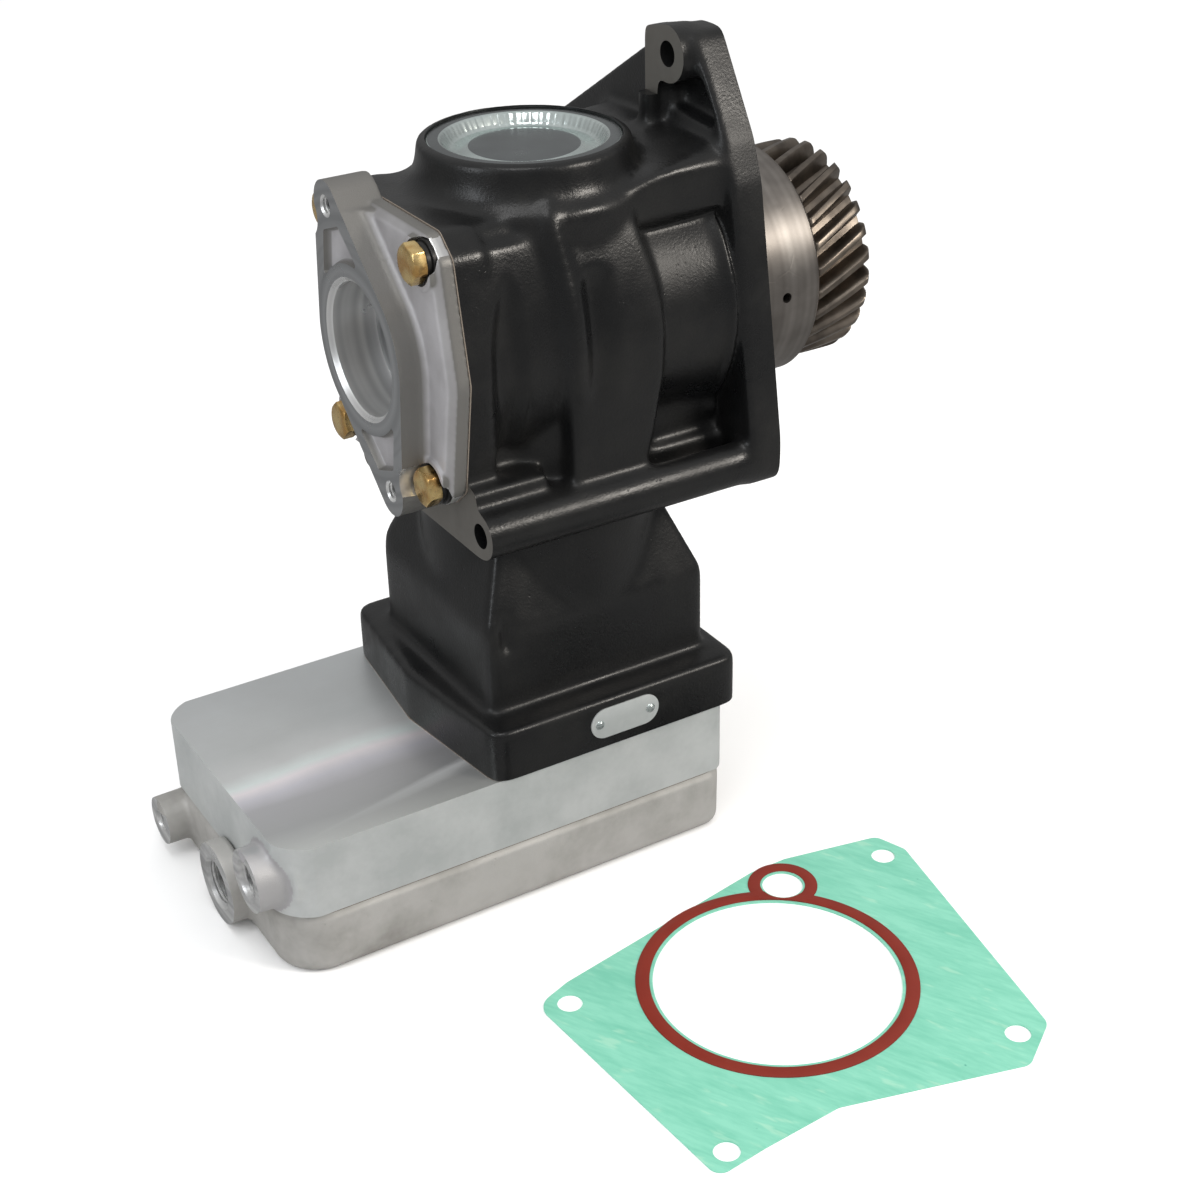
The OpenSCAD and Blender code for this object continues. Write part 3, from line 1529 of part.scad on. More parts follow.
module nameplate() {
    w = name_len / 2;
    h = name_h / 2;
    color(zinc)
    translate([name_x, 0, name_z]) difference() {
        along_y(-slab_w / 2 - name_t, -slab_w / 2)
            polygon(rounded([[-w, -h], [w, -h], [w, h], [-w, h]],
                [h - touch, h - touch, h - touch, h - touch]));
        for (s = [-1, 1]) translate([s * rivet_pitch / 2, 0, 0])
            along_y(-slab_w / 2 - 2 * name_t, -slab_w / 2 + name_t) circle(r = rivet_shank_r);
    }
}

module nameplate_rivets() {
    face = -slab_w / 2 - name_t;
    color(zinc)
    for (s = [-1, 1]) translate([name_x + s * rivet_pitch / 2, face, name_z]) rotate([90, 0, 0]) {
        cylinder(r1 = rivet_r, r2 = rivet_r / 2, h = rivet_dome);
        translate([0, 0, -rivet_len]) cylinder(r = rivet_shank_r - run_gap, h = rivet_len + touch);
    }
}

// Mounting gasket with its silicone bead, lying flat beside the compressor

module lay_gasket(z) {
    translate([gasket_x, gasket_y, z]) rotate(gasket_turn) children();
}

module mounting_gasket() {
    color(mint_fibre)
    lay_gasket(base_z) difference() {
        linear_extrude(gasket_t) polygon(flange_points());
        translate([0, 0, -overrun]) {
            cylinder(r = gasket_hole_r, h = 2 * overrun + gasket_t);
            translate(oil_port_at) cylinder(r = oil_hole_r, h = 2 * overrun + gasket_t);
            for (p = flange_holes) translate(p)
                cylinder(r = flange_hole_d / 2, h = 2 * overrun + gasket_t);
        }
    }
}

module gasket_bead() {
    color(red_silicone)
    lay_gasket(base_z + gasket_t) difference() {
        union() {
            cylinder(r = bead_out_r, h = bead_t);
            translate(oil_port_at) cylinder(r = oil_bead_r, h = bead_t);
        }
        translate([0, 0, -overrun]) {
            cylinder(r = bead_in_r, h = 2 * overrun + bead_t);
            translate(oil_port_at) cylinder(r = oil_bead_in_r, h = 2 * overrun + bead_t);
        }
    }
}

crankcase();
core_plug();
pump_cover();
pump_cover_gasket();
cover_bolts();
cover_lock_washers();
cover_plain_washers();
front_bearing_outer_race();
front_bearing_inner_race();
front_bearing_balls();
front_bearing_circlip();
rear_bearing_bush();
thrust_washer();
shaft_seal();
crankshaft();
drive_gear();
gear_key();
gear_nut();
gear_nut_washer();
pump_drive_dog();
crankpin();
connecting_rod();
rod_cap();
rod_bolts();
big_end_shells();
small_end_bush();
wrist_pin();
pin_circlips();
piston();
top_compression_ring();
second_compression_ring();
oil_control_ring();
cylinder_gasket();
valve_plate();
inlet_reed();
delivery_reed();
delivery_reed_stop();
reed_screws();
head_gasket();
head_cover();
head_bolts();
dowel_pins();
nameplate();
nameplate_rivets();
mounting_gasket();
gasket_bead();
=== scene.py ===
# %% [markdown]
# # An air brake compressor
# A truck's air brakes are fed by a small piston compressor that the engine drives through a gear.
# This lesson dresses the compressor's solid model: cast iron under black paint, raw and milled
# aluminium, plated bolts, a ground helical gear and a green fibre gasket on the floor beside it.

# %% Load the solid model
import json
import math

import bmesh
import bpy
import numpy as np
from mathutils import Matrix, Vector


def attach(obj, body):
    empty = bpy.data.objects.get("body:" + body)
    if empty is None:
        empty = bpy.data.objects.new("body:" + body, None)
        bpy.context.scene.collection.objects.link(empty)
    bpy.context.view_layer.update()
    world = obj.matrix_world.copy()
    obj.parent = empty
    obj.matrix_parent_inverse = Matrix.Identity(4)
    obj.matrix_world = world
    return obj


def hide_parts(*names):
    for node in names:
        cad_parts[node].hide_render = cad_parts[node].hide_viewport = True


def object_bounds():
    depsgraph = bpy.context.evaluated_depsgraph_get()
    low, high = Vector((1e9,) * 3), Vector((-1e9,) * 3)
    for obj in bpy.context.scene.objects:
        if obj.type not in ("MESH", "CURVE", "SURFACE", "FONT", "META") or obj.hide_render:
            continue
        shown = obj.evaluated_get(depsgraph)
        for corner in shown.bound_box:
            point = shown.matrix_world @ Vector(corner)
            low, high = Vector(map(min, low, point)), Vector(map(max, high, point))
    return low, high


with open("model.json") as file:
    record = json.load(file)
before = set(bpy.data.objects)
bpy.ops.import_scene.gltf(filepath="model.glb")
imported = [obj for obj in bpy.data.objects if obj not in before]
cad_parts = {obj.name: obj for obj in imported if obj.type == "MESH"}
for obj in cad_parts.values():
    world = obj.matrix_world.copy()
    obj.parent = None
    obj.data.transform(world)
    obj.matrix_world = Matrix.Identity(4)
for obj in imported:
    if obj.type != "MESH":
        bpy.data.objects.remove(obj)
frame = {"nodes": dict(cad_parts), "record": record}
cad_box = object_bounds()
nodes = frame["nodes"]
MM = 0.001
print("solid pieces:", len(nodes))

# %% [markdown]
# ## The camera
# The photograph was taken from the front left and above. A camera is a point, a direction and a
# lens, so those are the values below; the picture is square, and the sensor is 36 mm wide.

# %% Camera
CAMERA_PLACE = Vector((-0.55066, -0.82594, 0.37011))
CAMERA_TURN = math.radians(-30.77)
CAMERA_TILT = math.radians(29.52)
CAMERA_ROLL = math.radians(-1.40)
CAMERA_LENS = 61.71


def add_object(name, data):
    obj = bpy.data.objects.new(name, data)
    bpy.context.scene.collection.objects.link(obj)
    return obj


def look_matrix(turn, tilt, roll):
    """Rotation of a camera that looks along +Y when nothing is turned, then turns, tilts down and rolls."""
    right = Vector((math.cos(turn), math.sin(turn), 0))
    ahead = Vector((-math.sin(turn) * math.cos(tilt), math.cos(turn) * math.cos(tilt), -math.sin(tilt)))
    up = right.cross(ahead)
    rolled_right = math.cos(roll) * right + math.sin(roll) * up
    rolled_up = math.cos(roll) * up - math.sin(roll) * right
    return Matrix((rolled_right, rolled_up, -ahead)).transposed().to_4x4()


camera = add_object("camera", bpy.data.cameras.new("camera"))
camera.data.lens = CAMERA_LENS
camera.data.sensor_width = 36
camera.data.clip_end = 20
camera.matrix_world = Matrix.Translation(CAMERA_PLACE) @ look_matrix(CAMERA_TURN, CAMERA_TILT, CAMERA_ROLL)
bpy.context.scene.camera = camera
print("camera:", [round(c, 3) for c in CAMERA_PLACE])

# %% [markdown]
# ## Node tools
# Materials here are small node trees. Effects that several materials share, such as the grain of a
# casting or the marks of a lathe, are made once as shader groups with named sockets.

# %% Node tools


class Tree:
    """Adds and joins nodes in one node tree with short calls."""

    def __init__(self, tree):
        self.tree = tree

    def put(self, value, socket):
        """Joins another node's output to a socket, or sets the socket's plain value."""
        if isinstance(value, bpy.types.NodeSocket):
            self.tree.links.new(value, socket)
        else:
            socket.default_value = value

    def add(self, kind, **settings):
        """A new node: in_NAME or in_NUMBER gives an input, and every other name is a setting."""
        node = self.tree.nodes.new(kind)
        for name, value in sorted(settings.items(), key=lambda item: item[0].startswith("in_")):
            if not name.startswith("in_"):
                setattr(node, name, value)
                continue
            key = name[3:]
            self.put(value, node.inputs[int(key) if key.isdigit() else key.replace("_", " ")])
        return node

    def math(self, operation, *values):
        node = self.add("ShaderNodeMath", operation=operation)
        for value, socket in zip(values, node.inputs):
            self.put(value, socket)
        return node.outputs[0]

    def noise(self, vector, scale, detail=2.0, roughness=0.5):
        node = self.add("ShaderNodeTexNoise", in_Vector=vector, in_Scale=scale, in_Detail=detail,
                        in_Roughness=roughness)
        return node.outputs["Fac"]

    def remap(self, value, low, high, to_low=0.0, to_high=1.0):
        node = self.add("ShaderNodeMapRange", in_0=value, in_1=low, in_2=high, in_3=to_low, in_4=to_high)
        return node.outputs[0]

    def blend(self, factor, low, high):
        """A colour between two, by a factor that varies over the surface."""
        sides = [(*side, 1.0) if isinstance(side, tuple) else side for side in (low, high)]
        node = self.add("ShaderNodeMix", data_type="RGBA", in_0=factor, in_6=sides[0], in_7=sides[1])
        return node.outputs[2]

    def object_place(self):
        return self.add("ShaderNodeTexCoord").outputs["Object"]

    def stretched(self, vector, scale):
        return self.add("ShaderNodeVectorMath", operation="MULTIPLY", in_0=vector, in_1=scale).outputs[0]

    def split(self, vector):
        return self.add("ShaderNodeSeparateXYZ", in_0=vector).outputs

    def combine(self, x, y, z=0.0):
        return self.add("ShaderNodeCombineXYZ", in_0=x, in_1=y, in_2=z).outputs[0]

    def give(self, result, **values):
        """Joins a group's outputs and hands over the group."""
        for key, value in values.items():
            self.put(value, result[key])
        return self.tree


def shader_group(name, inputs, outputs):
    """A new shader group with float inputs {name: default} and float outputs [names]."""
    tree = bpy.data.node_groups.new(name, "ShaderNodeTree")
    for key, value in inputs.items():
        tree.interface.new_socket(key, in_out="INPUT", socket_type="NodeSocketFloat").default_value = value
    for key in outputs:
        tree.interface.new_socket(key, in_out="OUTPUT", socket_type="NodeSocketFloat")
    tools = Tree(tree)
    return tools, tools.add("NodeGroupInput").outputs, tools.add("NodeGroupOutput").inputs


def cast_grain_group():
    """Sand-cast skin: coarse waves, fine pimples, and a mask of where the skin is rough."""
    t, given, result = shader_group(
        "cast grain", {"Coarse": 180.0, "Fine": 1300.0, "Fine share": 0.5}, ["Height", "Patches", "Pits"])
    place = t.object_place()
    fine = t.math("MULTIPLY", t.noise(place, given["Fine"], 2.0, 0.6), given["Fine share"])
    height = t.math("ADD", t.noise(place, given["Coarse"], 3.0, 0.55), fine)
    cells = t.add("ShaderNodeTexVoronoi", in_Vector=place, in_Scale=300.0)
    rare = t.remap(t.noise(place, 60.0), 0.6, 0.66)
    pits = t.math("MULTIPLY", t.remap(cells.outputs["Distance"], 0.0, 0.22, 1.0, 0.0), rare)
    patches = t.remap(t.noise(place, 26.0, 4.0, 0.6), 0.38, 0.62)
    return t.give(result, Height=height, Patches=patches, Pits=pits)


def tool_marks_group():
    """Marks of a tool that turned round an axis along X: rings by radius and by place along the axis."""
    t, given, result = shader_group("tool marks", {"Pitch": 1400.0}, ["Rings", "Bands", "Smears"])
    place = t.object_place()
    x, y, z = t.split(place)
    radius = t.math("SQRT", t.math("ADD", t.math("POWER", y, 2.0), t.math("POWER", z, 2.0)))
    ring_place = t.combine(x, radius)
    rings = t.noise(ring_place, given["Pitch"], 2.0, 0.7)
    bands = t.noise(ring_place, t.math("MULTIPLY", given["Pitch"], 0.12), 1.0)
    return t.give(result, Rings=rings, Bands=bands, Smears=t.noise(place, 34.0, 3.0, 0.6))


def handling_group():
    """Thin scratches and smudges that handling leaves on metal."""
    t, given, result = shader_group("handling", {"Scratch scale": 60.0}, ["Scratches", "Smudges"])
    place = t.object_place()
    warp = t.add("ShaderNodeTexNoise", in_Vector=place, in_Scale=30.0)
    sway = t.stretched(warp.outputs["Color"], (0.02, 0.02, 0.02))
    bent = t.add("ShaderNodeVectorMath", operation="ADD", in_0=place, in_1=sway)
    lines = t.add("ShaderNodeTexVoronoi", feature="DISTANCE_TO_EDGE", in_Vector=bent.outputs[0],
                  in_Scale=given["Scratch scale"])
    few = t.remap(t.noise(place, 45.0), 0.54, 0.6)
    scratches = t.math("MULTIPLY", t.remap(lines.outputs["Distance"], 0.0, 0.02, 1.0, 0.0), few)
    return t.give(result, Scratches=scratches, Smudges=t.remap(t.noise(place, 16.0, 5.0, 0.65), 0.35, 0.68))


CAST_GRAIN = cast_grain_group()
TOOL_MARKS = tool_marks_group()
HANDLING = handling_group()


class Finish(Tree):
    """A material in the making: constants go on its shader's own sockets, textures come after."""

    def __init__(self, name, **constants):
        self.material = bpy.data.materials.new(name)
        self.material.use_nodes = True
        super().__init__(self.material.node_tree)
        self.shader = self.tree.nodes["Principled BSDF"]
        for key, value in constants.items():
            self.shader.inputs[key.replace("_", " ")].default_value = value

    def group(self, tree, **inputs):
        return self.add("ShaderNodeGroup", node_tree=tree, **inputs).outputs

    def surface(self, colour, roughness, height, depth):
        """Joins colour, roughness and a bump with its depth in millimetres, and hands over the material."""
        bump = self.add("ShaderNodeBump", in_Distance=depth * MM, in_Strength=1.0, in_Height=height)
        self.put(colour, self.shader.inputs["Base Color"])
        self.put(roughness, self.shader.inputs["Roughness"])
        self.put(bump.outputs["Normal"], self.shader.inputs["Normal"])
        return self.material


print("shader groups:", len(bpy.data.node_groups))

# %% [markdown]
# ## Materials
# Each one is a short recipe: a base colour that drifts a little, a roughness that drifts with it,
# and a relief that suits how the surface was made: sand, blasting, a mill, a lathe or a grinder.

# %% Materials


def black_paint():
    """Gloss black enamel over a sand casting; the grain breaks up its highlights."""
    t = Finish("black_paint", Specular_IOR_Level=0.42)
    grain = t.group(CAST_GRAIN, in_Coarse=90.0, in_Fine=760.0, in_Fine_share=0.9)
    dusty = t.math("MULTIPLY", t.group(HANDLING)["Smudges"], grain["Patches"])
    height = t.math("SUBTRACT", grain["Height"], t.math("MULTIPLY", grain["Pits"], 1.2))
    return t.surface(t.blend(dusty, (0.0045, 0.0047, 0.005), (0.010, 0.0098, 0.0092)),
                     t.remap(grain["Patches"], 0.0, 1.0, 0.27, 0.40), height, 0.125)


def machined_iron():
    """Bare iron where a cutter has passed: grey, faintly brown, with fine rings."""
    t = Finish("machined_iron", Metallic=1.0)
    marks = t.group(TOOL_MARKS, in_Pitch=1100.0)
    return t.surface(t.blend(marks["Smears"], (0.20, 0.19, 0.175), (0.31, 0.295, 0.27)),
                     t.remap(t.group(HANDLING)["Smudges"], 0.0, 1.0, 0.42, 0.6), marks["Rings"], 0.02)


def turned_steel():
    """Turned and wiped steel of the spigot, with rings right round it."""
    t = Finish("turned_steel", Metallic=1.0, Anisotropic=0.4)
    marks = t.group(TOOL_MARKS, in_Pitch=1500.0)
    worn = t.remap(t.math("MULTIPLY", marks["Bands"], marks["Smears"]), 0.15, 0.4)
    height = t.math("SUBTRACT", marks["Rings"], t.group(HANDLING, in_Scratch_scale=40.0)["Scratches"])
    return t.surface(t.blend(worn, (0.17, 0.155, 0.142), (0.32, 0.30, 0.28)),
                     t.remap(marks["Smears"], 0.3, 0.7, 0.36, 0.50), height, 0.03)


def gear_steel():
    """Hardened steel, brown from the furnace and bright where the flanks were ground."""
    t = Finish("gear_steel", Metallic=1.0)
    place = t.object_place()
    film = t.remap(t.noise(place, 55.0, 3.0, 0.6), 0.35, 0.65)
    grinding = t.noise(t.stretched(place, (300.0, 2500.0, 2500.0)), 1.0, 2.0, 0.6)
    return t.surface(t.blend(film, (0.11, 0.094, 0.08), (0.25, 0.215, 0.18)),
                     t.remap(t.group(HANDLING)["Smudges"], 0.0, 1.0, 0.27, 0.42), grinding, 0.012)


def tooled_metal(name, pitch, low, high, sheen, depth, banded=False, **constants):
    """Metal off a lathe or grinder: fine rings, with wiped patches or bands in its colour."""
    t = Finish(name, **constants)
    marks = t.group(TOOL_MARKS, in_Pitch=pitch)
    mask = t.remap(marks["Bands"], 0.35, 0.65) if banded else marks["Smears"]
    roughness = t.remap(marks["Smears"], 0.3, 0.7, *sheen)
    return t.surface(t.blend(mask, low, high), roughness, marks["Rings"], depth)


def handled(name, low, high, sheen, grain, depth, **constants):
    """A fine-grained skin whose colour and sheen drift where hands have been."""
    t = Finish(name, **constants)
    smudges = t.group(HANDLING)["Smudges"]
    return t.surface(t.blend(smudges, low, high), t.remap(smudges, 0.0, 1.0, *sheen),
                     t.noise(t.object_place(), grain), depth)


def blasted_alloy(name, wall):
    """Shot-blasted, pebbled aluminium with painted light: faces turned along X get the pale colour as painted
    light, faces across X the wall colour as painted shade.
    """
    t = Finish(name, Metallic=0.6)
    grain = t.group(CAST_GRAIN, in_Coarse=420.0, in_Fine=2200.0, in_Fine_share=1.0)
    facing = t.split(t.add("ShaderNodeTexCoord").outputs["Normal"])[0]
    # Painted light and shade: the colour follows how far each face turns along X, pale along X and the wall
    # colour across it.
    lit_along_x = t.remap(t.math("ABSOLUTE", facing), 0.45, 0.85)
    pale = t.blend(grain["Patches"], (0.40, 0.39, 0.40), (0.50, 0.49, 0.505))
    return t.surface(t.blend(lit_along_x, wall, pale), t.remap(grain["Patches"], 0.0, 1.0, 0.42, 0.52),
                     t.math("SUBTRACT", grain["Height"], grain["Pits"]), 0.09)


def rough_alloy():
    """Greyer, rougher skin of the cast head cover, with dimples and stains."""
    t = Finish("rough_alloy", Metallic=0.5)
    grain = t.group(CAST_GRAIN, in_Coarse=170.0, in_Fine=1700.0, in_Fine_share=0.6)
    stain = t.math("MULTIPLY", grain["Patches"], t.group(HANDLING)["Smudges"])
    height = t.math("SUBTRACT", grain["Height"], t.math("MULTIPLY", grain["Pits"], 2.0))
    return t.surface(t.blend(stain, (0.50, 0.49, 0.47), (0.30, 0.29, 0.27)),
                     t.remap(grain["Patches"], 0.0, 1.0, 0.5, 0.62), height, 0.16)


def milled_alloy():
    """Satin face of the milled plate, with a painted highlight: a whitish band across it with faint bluish
    and straw tints, and darker grey beside it.
    """
    t = Finish("milled_alloy", Metallic=0.75)
    handling = t.group(HANDLING, in_Scratch_scale=24.0)
    place = t.object_place()
    streak = t.noise(t.stretched(place, (40.0, 1500.0, 1500.0)), 1.0, 2.0, 0.6)
    wave = t.math("ADD", t.split(place)[1], t.math("MULTIPLY", t.noise(place, 11.0, 3.0), 0.022))
    # Painted highlight: the colour ramp runs across the plate along Y and puts a whitish band with faint
    # bluish and straw tints near its middle.
    painted_highlight_band = t.add("ShaderNodeValToRGB", in_0=t.remap(wave, -0.067, 0.073))
    bands = [(0.0, (0.66, 0.68, 0.66)), (0.16, (0.47, 0.48, 0.485)), (0.30, (0.52, 0.52, 0.54)),
             (0.38, (0.74, 0.73, 0.79)), (0.44, (0.98, 0.93, 0.96)), (0.48, (0.88, 0.95, 0.94)),
             (0.55, (0.72, 0.735, 0.735)), (0.70, (0.61, 0.63, 0.63)), (1.0, (0.60, 0.62, 0.625))]
    stops = painted_highlight_band.color_ramp.elements
    for at, colour in bands[1:-1]:
        stops.new(at)
    for stop, (at, colour) in zip(stops, bands):
        stop.position = at
        stop.color = (*colour, 1)
    shade = t.math("MULTIPLY", handling["Smudges"], 0.25)
    height = t.math("SUBTRACT", streak, t.math("MULTIPLY", handling["Scratches"], 0.6))
    return t.surface(t.blend(shade, painted_highlight_band.outputs["Color"], (0.47, 0.47, 0.46)),
                     t.remap(streak, 0.3, 0.7, 0.36, 0.44), height, 0.006)


def milled_side():
    """Sides of the milled plate: paler and flatter than its top, with faint mottling."""
    t = Finish("milled_side", Metallic=0.45)
    handling = t.group(HANDLING, in_Scratch_scale=20.0)
    place = t.object_place()
    mottle = t.remap(t.noise(place, 28.0, 5.0, 0.65), 0.35, 0.65)
    return t.surface(t.blend(mottle, (0.44, 0.46, 0.455), (0.55, 0.565, 0.56)),
                     t.remap(handling["Smudges"], 0.0, 1.0, 0.4, 0.5),
                     t.math("SUBTRACT", t.noise(place, 1400.0), handling["Scratches"]), 0.014)


def yellow_zinc():
    """Yellow-passivated zinc: gold with reddish and greenish drifts."""
    t = Finish("yellow_zinc", Metallic=1.0)
    place = t.object_place()
    drift = t.remap(t.noise(place, 120.0), 0.36, 0.64)
    return t.surface(t.blend(drift, (0.62, 0.37, 0.13), (0.86, 0.65, 0.30)),
                     t.remap(t.noise(place, 300.0), 0.3, 0.7, 0.2, 0.36), t.noise(place, 1800.0), 0.02)


def gasket_paper():
    """Pressed fibre between joint faces, brownish grey at the edge."""
    t = Finish("gasket_paper")
    fibre = t.noise(t.stretched(t.object_place(), (400.0, 400.0, 2600.0)), 1.0, 3.0, 0.6)
    return t.surface(t.blend(fibre, (0.10, 0.085, 0.07), (0.25, 0.205, 0.165)), 0.8, fibre, 0.04)


def mint_fibre():
    """Green fibre sheet with streaks along its rolling direction and a few flecks."""
    t = Finish("mint_fibre", Specular_IOR_Level=0.3)
    place = t.object_place()
    turned = t.add("ShaderNodeVectorRotate", rotation_type="Z_AXIS", in_Vector=place,
                   in_Angle=math.radians(62.0)).outputs[0]
    broad = t.noise(t.stretched(turned, (22.0, 95.0, 95.0)), 1.0, 4.0, 0.62)
    fine = t.noise(t.stretched(turned, (90.0, 520.0, 520.0)), 1.0, 3.0, 0.6)
    streaks = t.math("ADD", t.math("MULTIPLY", broad, 0.62), t.math("MULTIPLY", fine, 0.38))
    green = t.blend(t.remap(streaks, 0.36, 0.6), (0.165, 0.50, 0.365), (0.235, 0.59, 0.445))
    cloud = t.noise(t.stretched(turned, (60.0, 210.0, 210.0)), 1.0)
    mixed = t.blend(t.remap(cloud, 0.62, 0.72, 0.0, 0.4), green, (0.42, 0.68, 0.52))
    specks = t.add("ShaderNodeTexVoronoi", in_Vector=place, in_Scale=150.0)
    rare = t.remap(t.noise(place, 70.0), 0.64, 0.66)
    flecks = t.math("MULTIPLY", t.remap(specks.outputs["Distance"], 0.05, 0.13, 0.8, 0.0), rare)
    roughness = t.remap(streaks, 0.3, 0.7, 0.55, 0.72)
    return t.surface(t.blend(flecks, mixed, (0.05, 0.30, 0.22)), roughness, fine, 0.03)


def red_silicone():
    t = Finish("red_silicone", Specular_IOR_Level=0.25)
    place = t.object_place()
    drift = t.noise(place, 60.0, 3.0)
    return t.surface(t.blend(drift, (0.17, 0.017, 0.009), (0.23, 0.026, 0.014)),
                     t.remap(drift, 0.3, 0.7, 0.42, 0.56), t.noise(place, 900.0), 0.02)


PAINT = black_paint()
IRON = machined_iron()
SPIGOT = turned_steel()
GEAR = gear_steel()
STEEL = tooled_metal("ground_steel", 2600.0, (0.48, 0.48, 0.48), (0.60, 0.60, 0.60), (0.16, 0.28), 0.008,
                     Metallic=1.0)
BRONZE = tooled_metal("bearing_bronze", 1800.0, (0.42, 0.28, 0.13), (0.62, 0.44, 0.22), (0.24, 0.38), 0.012,
                      Metallic=1.0)
TURNED = tooled_metal("machined_alloy", 1700.0, (0.38, 0.39, 0.40), (0.50, 0.51, 0.52), (0.26, 0.38), 0.014,
                      True, Metallic=1.0, Anisotropic=0.3)
BORED = tooled_metal("bored_alloy", 1700.0, (0.52, 0.52, 0.52), (0.80, 0.80, 0.79), (0.26, 0.38), 0.014,
                     True, Metallic=0.8, Anisotropic=0.3)
# Both copies paint light and shade by facing: the cover's walls get a dark painted shade, the boss's walls a
# pale one.
BLASTED = blasted_alloy("blasted_alloy", (0.19, 0.185, 0.175))
BOSS = blasted_alloy("blasted_boss", (0.47, 0.465, 0.47))
ROUGH = rough_alloy()
MILLED = milled_alloy()
PLATE_SIDE = milled_side()
ZINC = handled("zinc_plate", (0.56, 0.63, 0.62), (0.72, 0.79, 0.77), (0.16, 0.3), 700.0, 0.012, Metallic=1.0)
# Painted shade: a darker copy of the plated zinc, with the same sheen, for the plug's flat faces that look
# up.
SHADED_ZINC = handled("dull_zinc", (0.17, 0.185, 0.19), (0.25, 0.27, 0.275), (0.16, 0.3), 700.0, 0.012,
                    Metallic=1.0)
OXIDE = handled("black_oxide", (0.018, 0.018, 0.019), (0.045, 0.043, 0.04), (0.3, 0.48), 1500.0, 0.02,
                Metallic=0.7)
RUBBER = handled("seal_rubber", (0.012, 0.012, 0.012), (0.03, 0.03, 0.03), (0.45, 0.62), 1200.0, 0.02,
                 Specular_IOR_Level=0.4)
YELLOW = yellow_zinc()
PAPER = gasket_paper()
MINT = mint_fibre()
SILICONE = red_silicone()
print("materials:", len(bpy.data.materials))

# %% Every solid gets its material first
SLOT_MATERIAL = {
    "black_casting": PAINT, "zinc_plate": ZINC, "cast_alloy": BLASTED, "milled_alloy": MILLED,
    "gasket_paper": PAPER, "yellow_zinc": YELLOW, "black_oxide": OXIDE, "bright_steel": STEEL,
    "gear_steel": GEAR, "bearing_bronze": BRONZE, "piston_alloy": TURNED, "seal_rubber": RUBBER,
    "mint_fibre": MINT, "red_silicone": SILICONE,
}
node_slot = {part["node"]: part["material_slot"] for part in frame["record"]["subparts"]}
for name, obj in nodes.items():
    obj.data.materials.clear()
    obj.data.materials.append(SLOT_MATERIAL[node_slot[name]])

# %% [markdown]
# ## Mesh tools
# Cast parts start as solids with their holes filled. They are remeshed finely, smoothed until the
# edges look cast, and only then cut with exact planes and bores, so machined edges stay crisp.

# %% Mesh tools


def mesh_object(name, points, faces):
    mesh = bpy.data.meshes.new(name)
    mesh.from_pydata([tuple(p) for p in points], [], [tuple(f) for f in faces])
    mesh.update()
    return add_object(name, mesh)


def tidy_mesh(obj, merge=1e-6):
    """Merges doubles and turns every face outward."""
    work = bmesh.new()
    work.from_mesh(obj.data)
    bmesh.ops.remove_doubles(work, verts=work.verts, dist=merge)
    bmesh.ops.dissolve_degenerate(work, dist=merge, edges=work.edges)
    bmesh.ops.recalc_face_normals(work, faces=work.faces)
    work.to_mesh(obj.data)
    work.free()
    return obj


def solid_copy(node, name):
    """A welded copy of a solid model's node."""
    obj = add_object(name, nodes[node].data.copy())
    obj.data.materials.clear()
    return tidy_mesh(obj)


def modify(obj, kind, **settings):
    modifier = obj.modifiers.new(kind.lower(), kind)
    for key, value in settings.items():
        setattr(modifier, key, value)


def apply_all(obj):
    """Replaces obj's mesh by its evaluated one and drops its modifiers."""
    graph = bpy.context.evaluated_depsgraph_get()
    mesh = bpy.data.meshes.new_from_object(obj.evaluated_get(graph))
    old = obj.data
    obj.modifiers.clear()
    obj.data = mesh
    bpy.data.meshes.remove(old)
    return obj


def drop(*objects):
    for obj in objects:
        mesh = obj.data
        bpy.data.objects.remove(obj)
        bpy.data.meshes.remove(mesh)


def combine(obj, others, operation):
    """Adds or cuts each of the others, one after another, and removes them."""
    for other in others:
        modify(obj, "BOOLEAN", operation=operation, object=other, solver="MANIFOLD")
    apply_all(obj)
    drop(*others)
    return obj


def lathe(name, profile, start, axis="X", segments=96):
    """Turns (radius, along) points in millimetres round an axis through start; radius 0 closes an end."""
    points, faces, rings = [], [], []
    for radius, along in profile:
        ring = []
        for i in range(1 if radius == 0 else segments):
            a = 2 * math.pi * i / segments
            u, v = radius * math.cos(a), radius * math.sin(a)
            local = (along, u, v) if axis == "X" else (v, along, u) if axis == "Y" else (u, v, along)
            ring.append(len(points))
            points.append([(s + p) * MM for s, p in zip(start, local)])
        rings.append(ring)
    closed = profile[0][0] > 0 and profile[-1][0] > 0
    pairs = list(zip(rings, rings[1:])) + ([(rings[-1], rings[0])] if closed else [])
    for a, b in pairs:
        for i in range(segments):
            j = (i + 1) % segments
            if len(a) == 1:
                faces.append((a[0], b[i], b[j]))
            elif len(b) == 1:
                faces.append((a[i], b[0], a[j]))
            else:
                faces.append((a[i], b[i], b[j], a[j]))
    return tidy_mesh(mesh_object(name, points, faces), 1e-9)


def rod(radius, start, end, centre=(0, 0), axis="X", segments=96):
    """A cylinder along an axis, its centre given in the other two directions, for cutting and filling."""
    place = list(centre)
    place.insert("XYZ".index(axis), 0)
    return lathe("rod", [(0, start), (radius, start), (radius, end), (0, end)], place, axis, segments)


def rods(radius, start, end, centres, axis="X", segments=96):
    return [rod(radius, start, end, centre, axis, segments) for centre in centres]


def block(low, high):
    corners = [(x, y, z) for x in (low[0], high[0]) for y in (low[1], high[1]) for z in (low[2], high[2])]
    faces = [(0, 1, 3, 2), (4, 6, 7, 5), (0, 4, 5, 1), (2, 3, 7, 6), (0, 2, 6, 4), (1, 5, 7, 3)]
    return mesh_object("block", [[c * MM for c in p] for p in corners], faces)


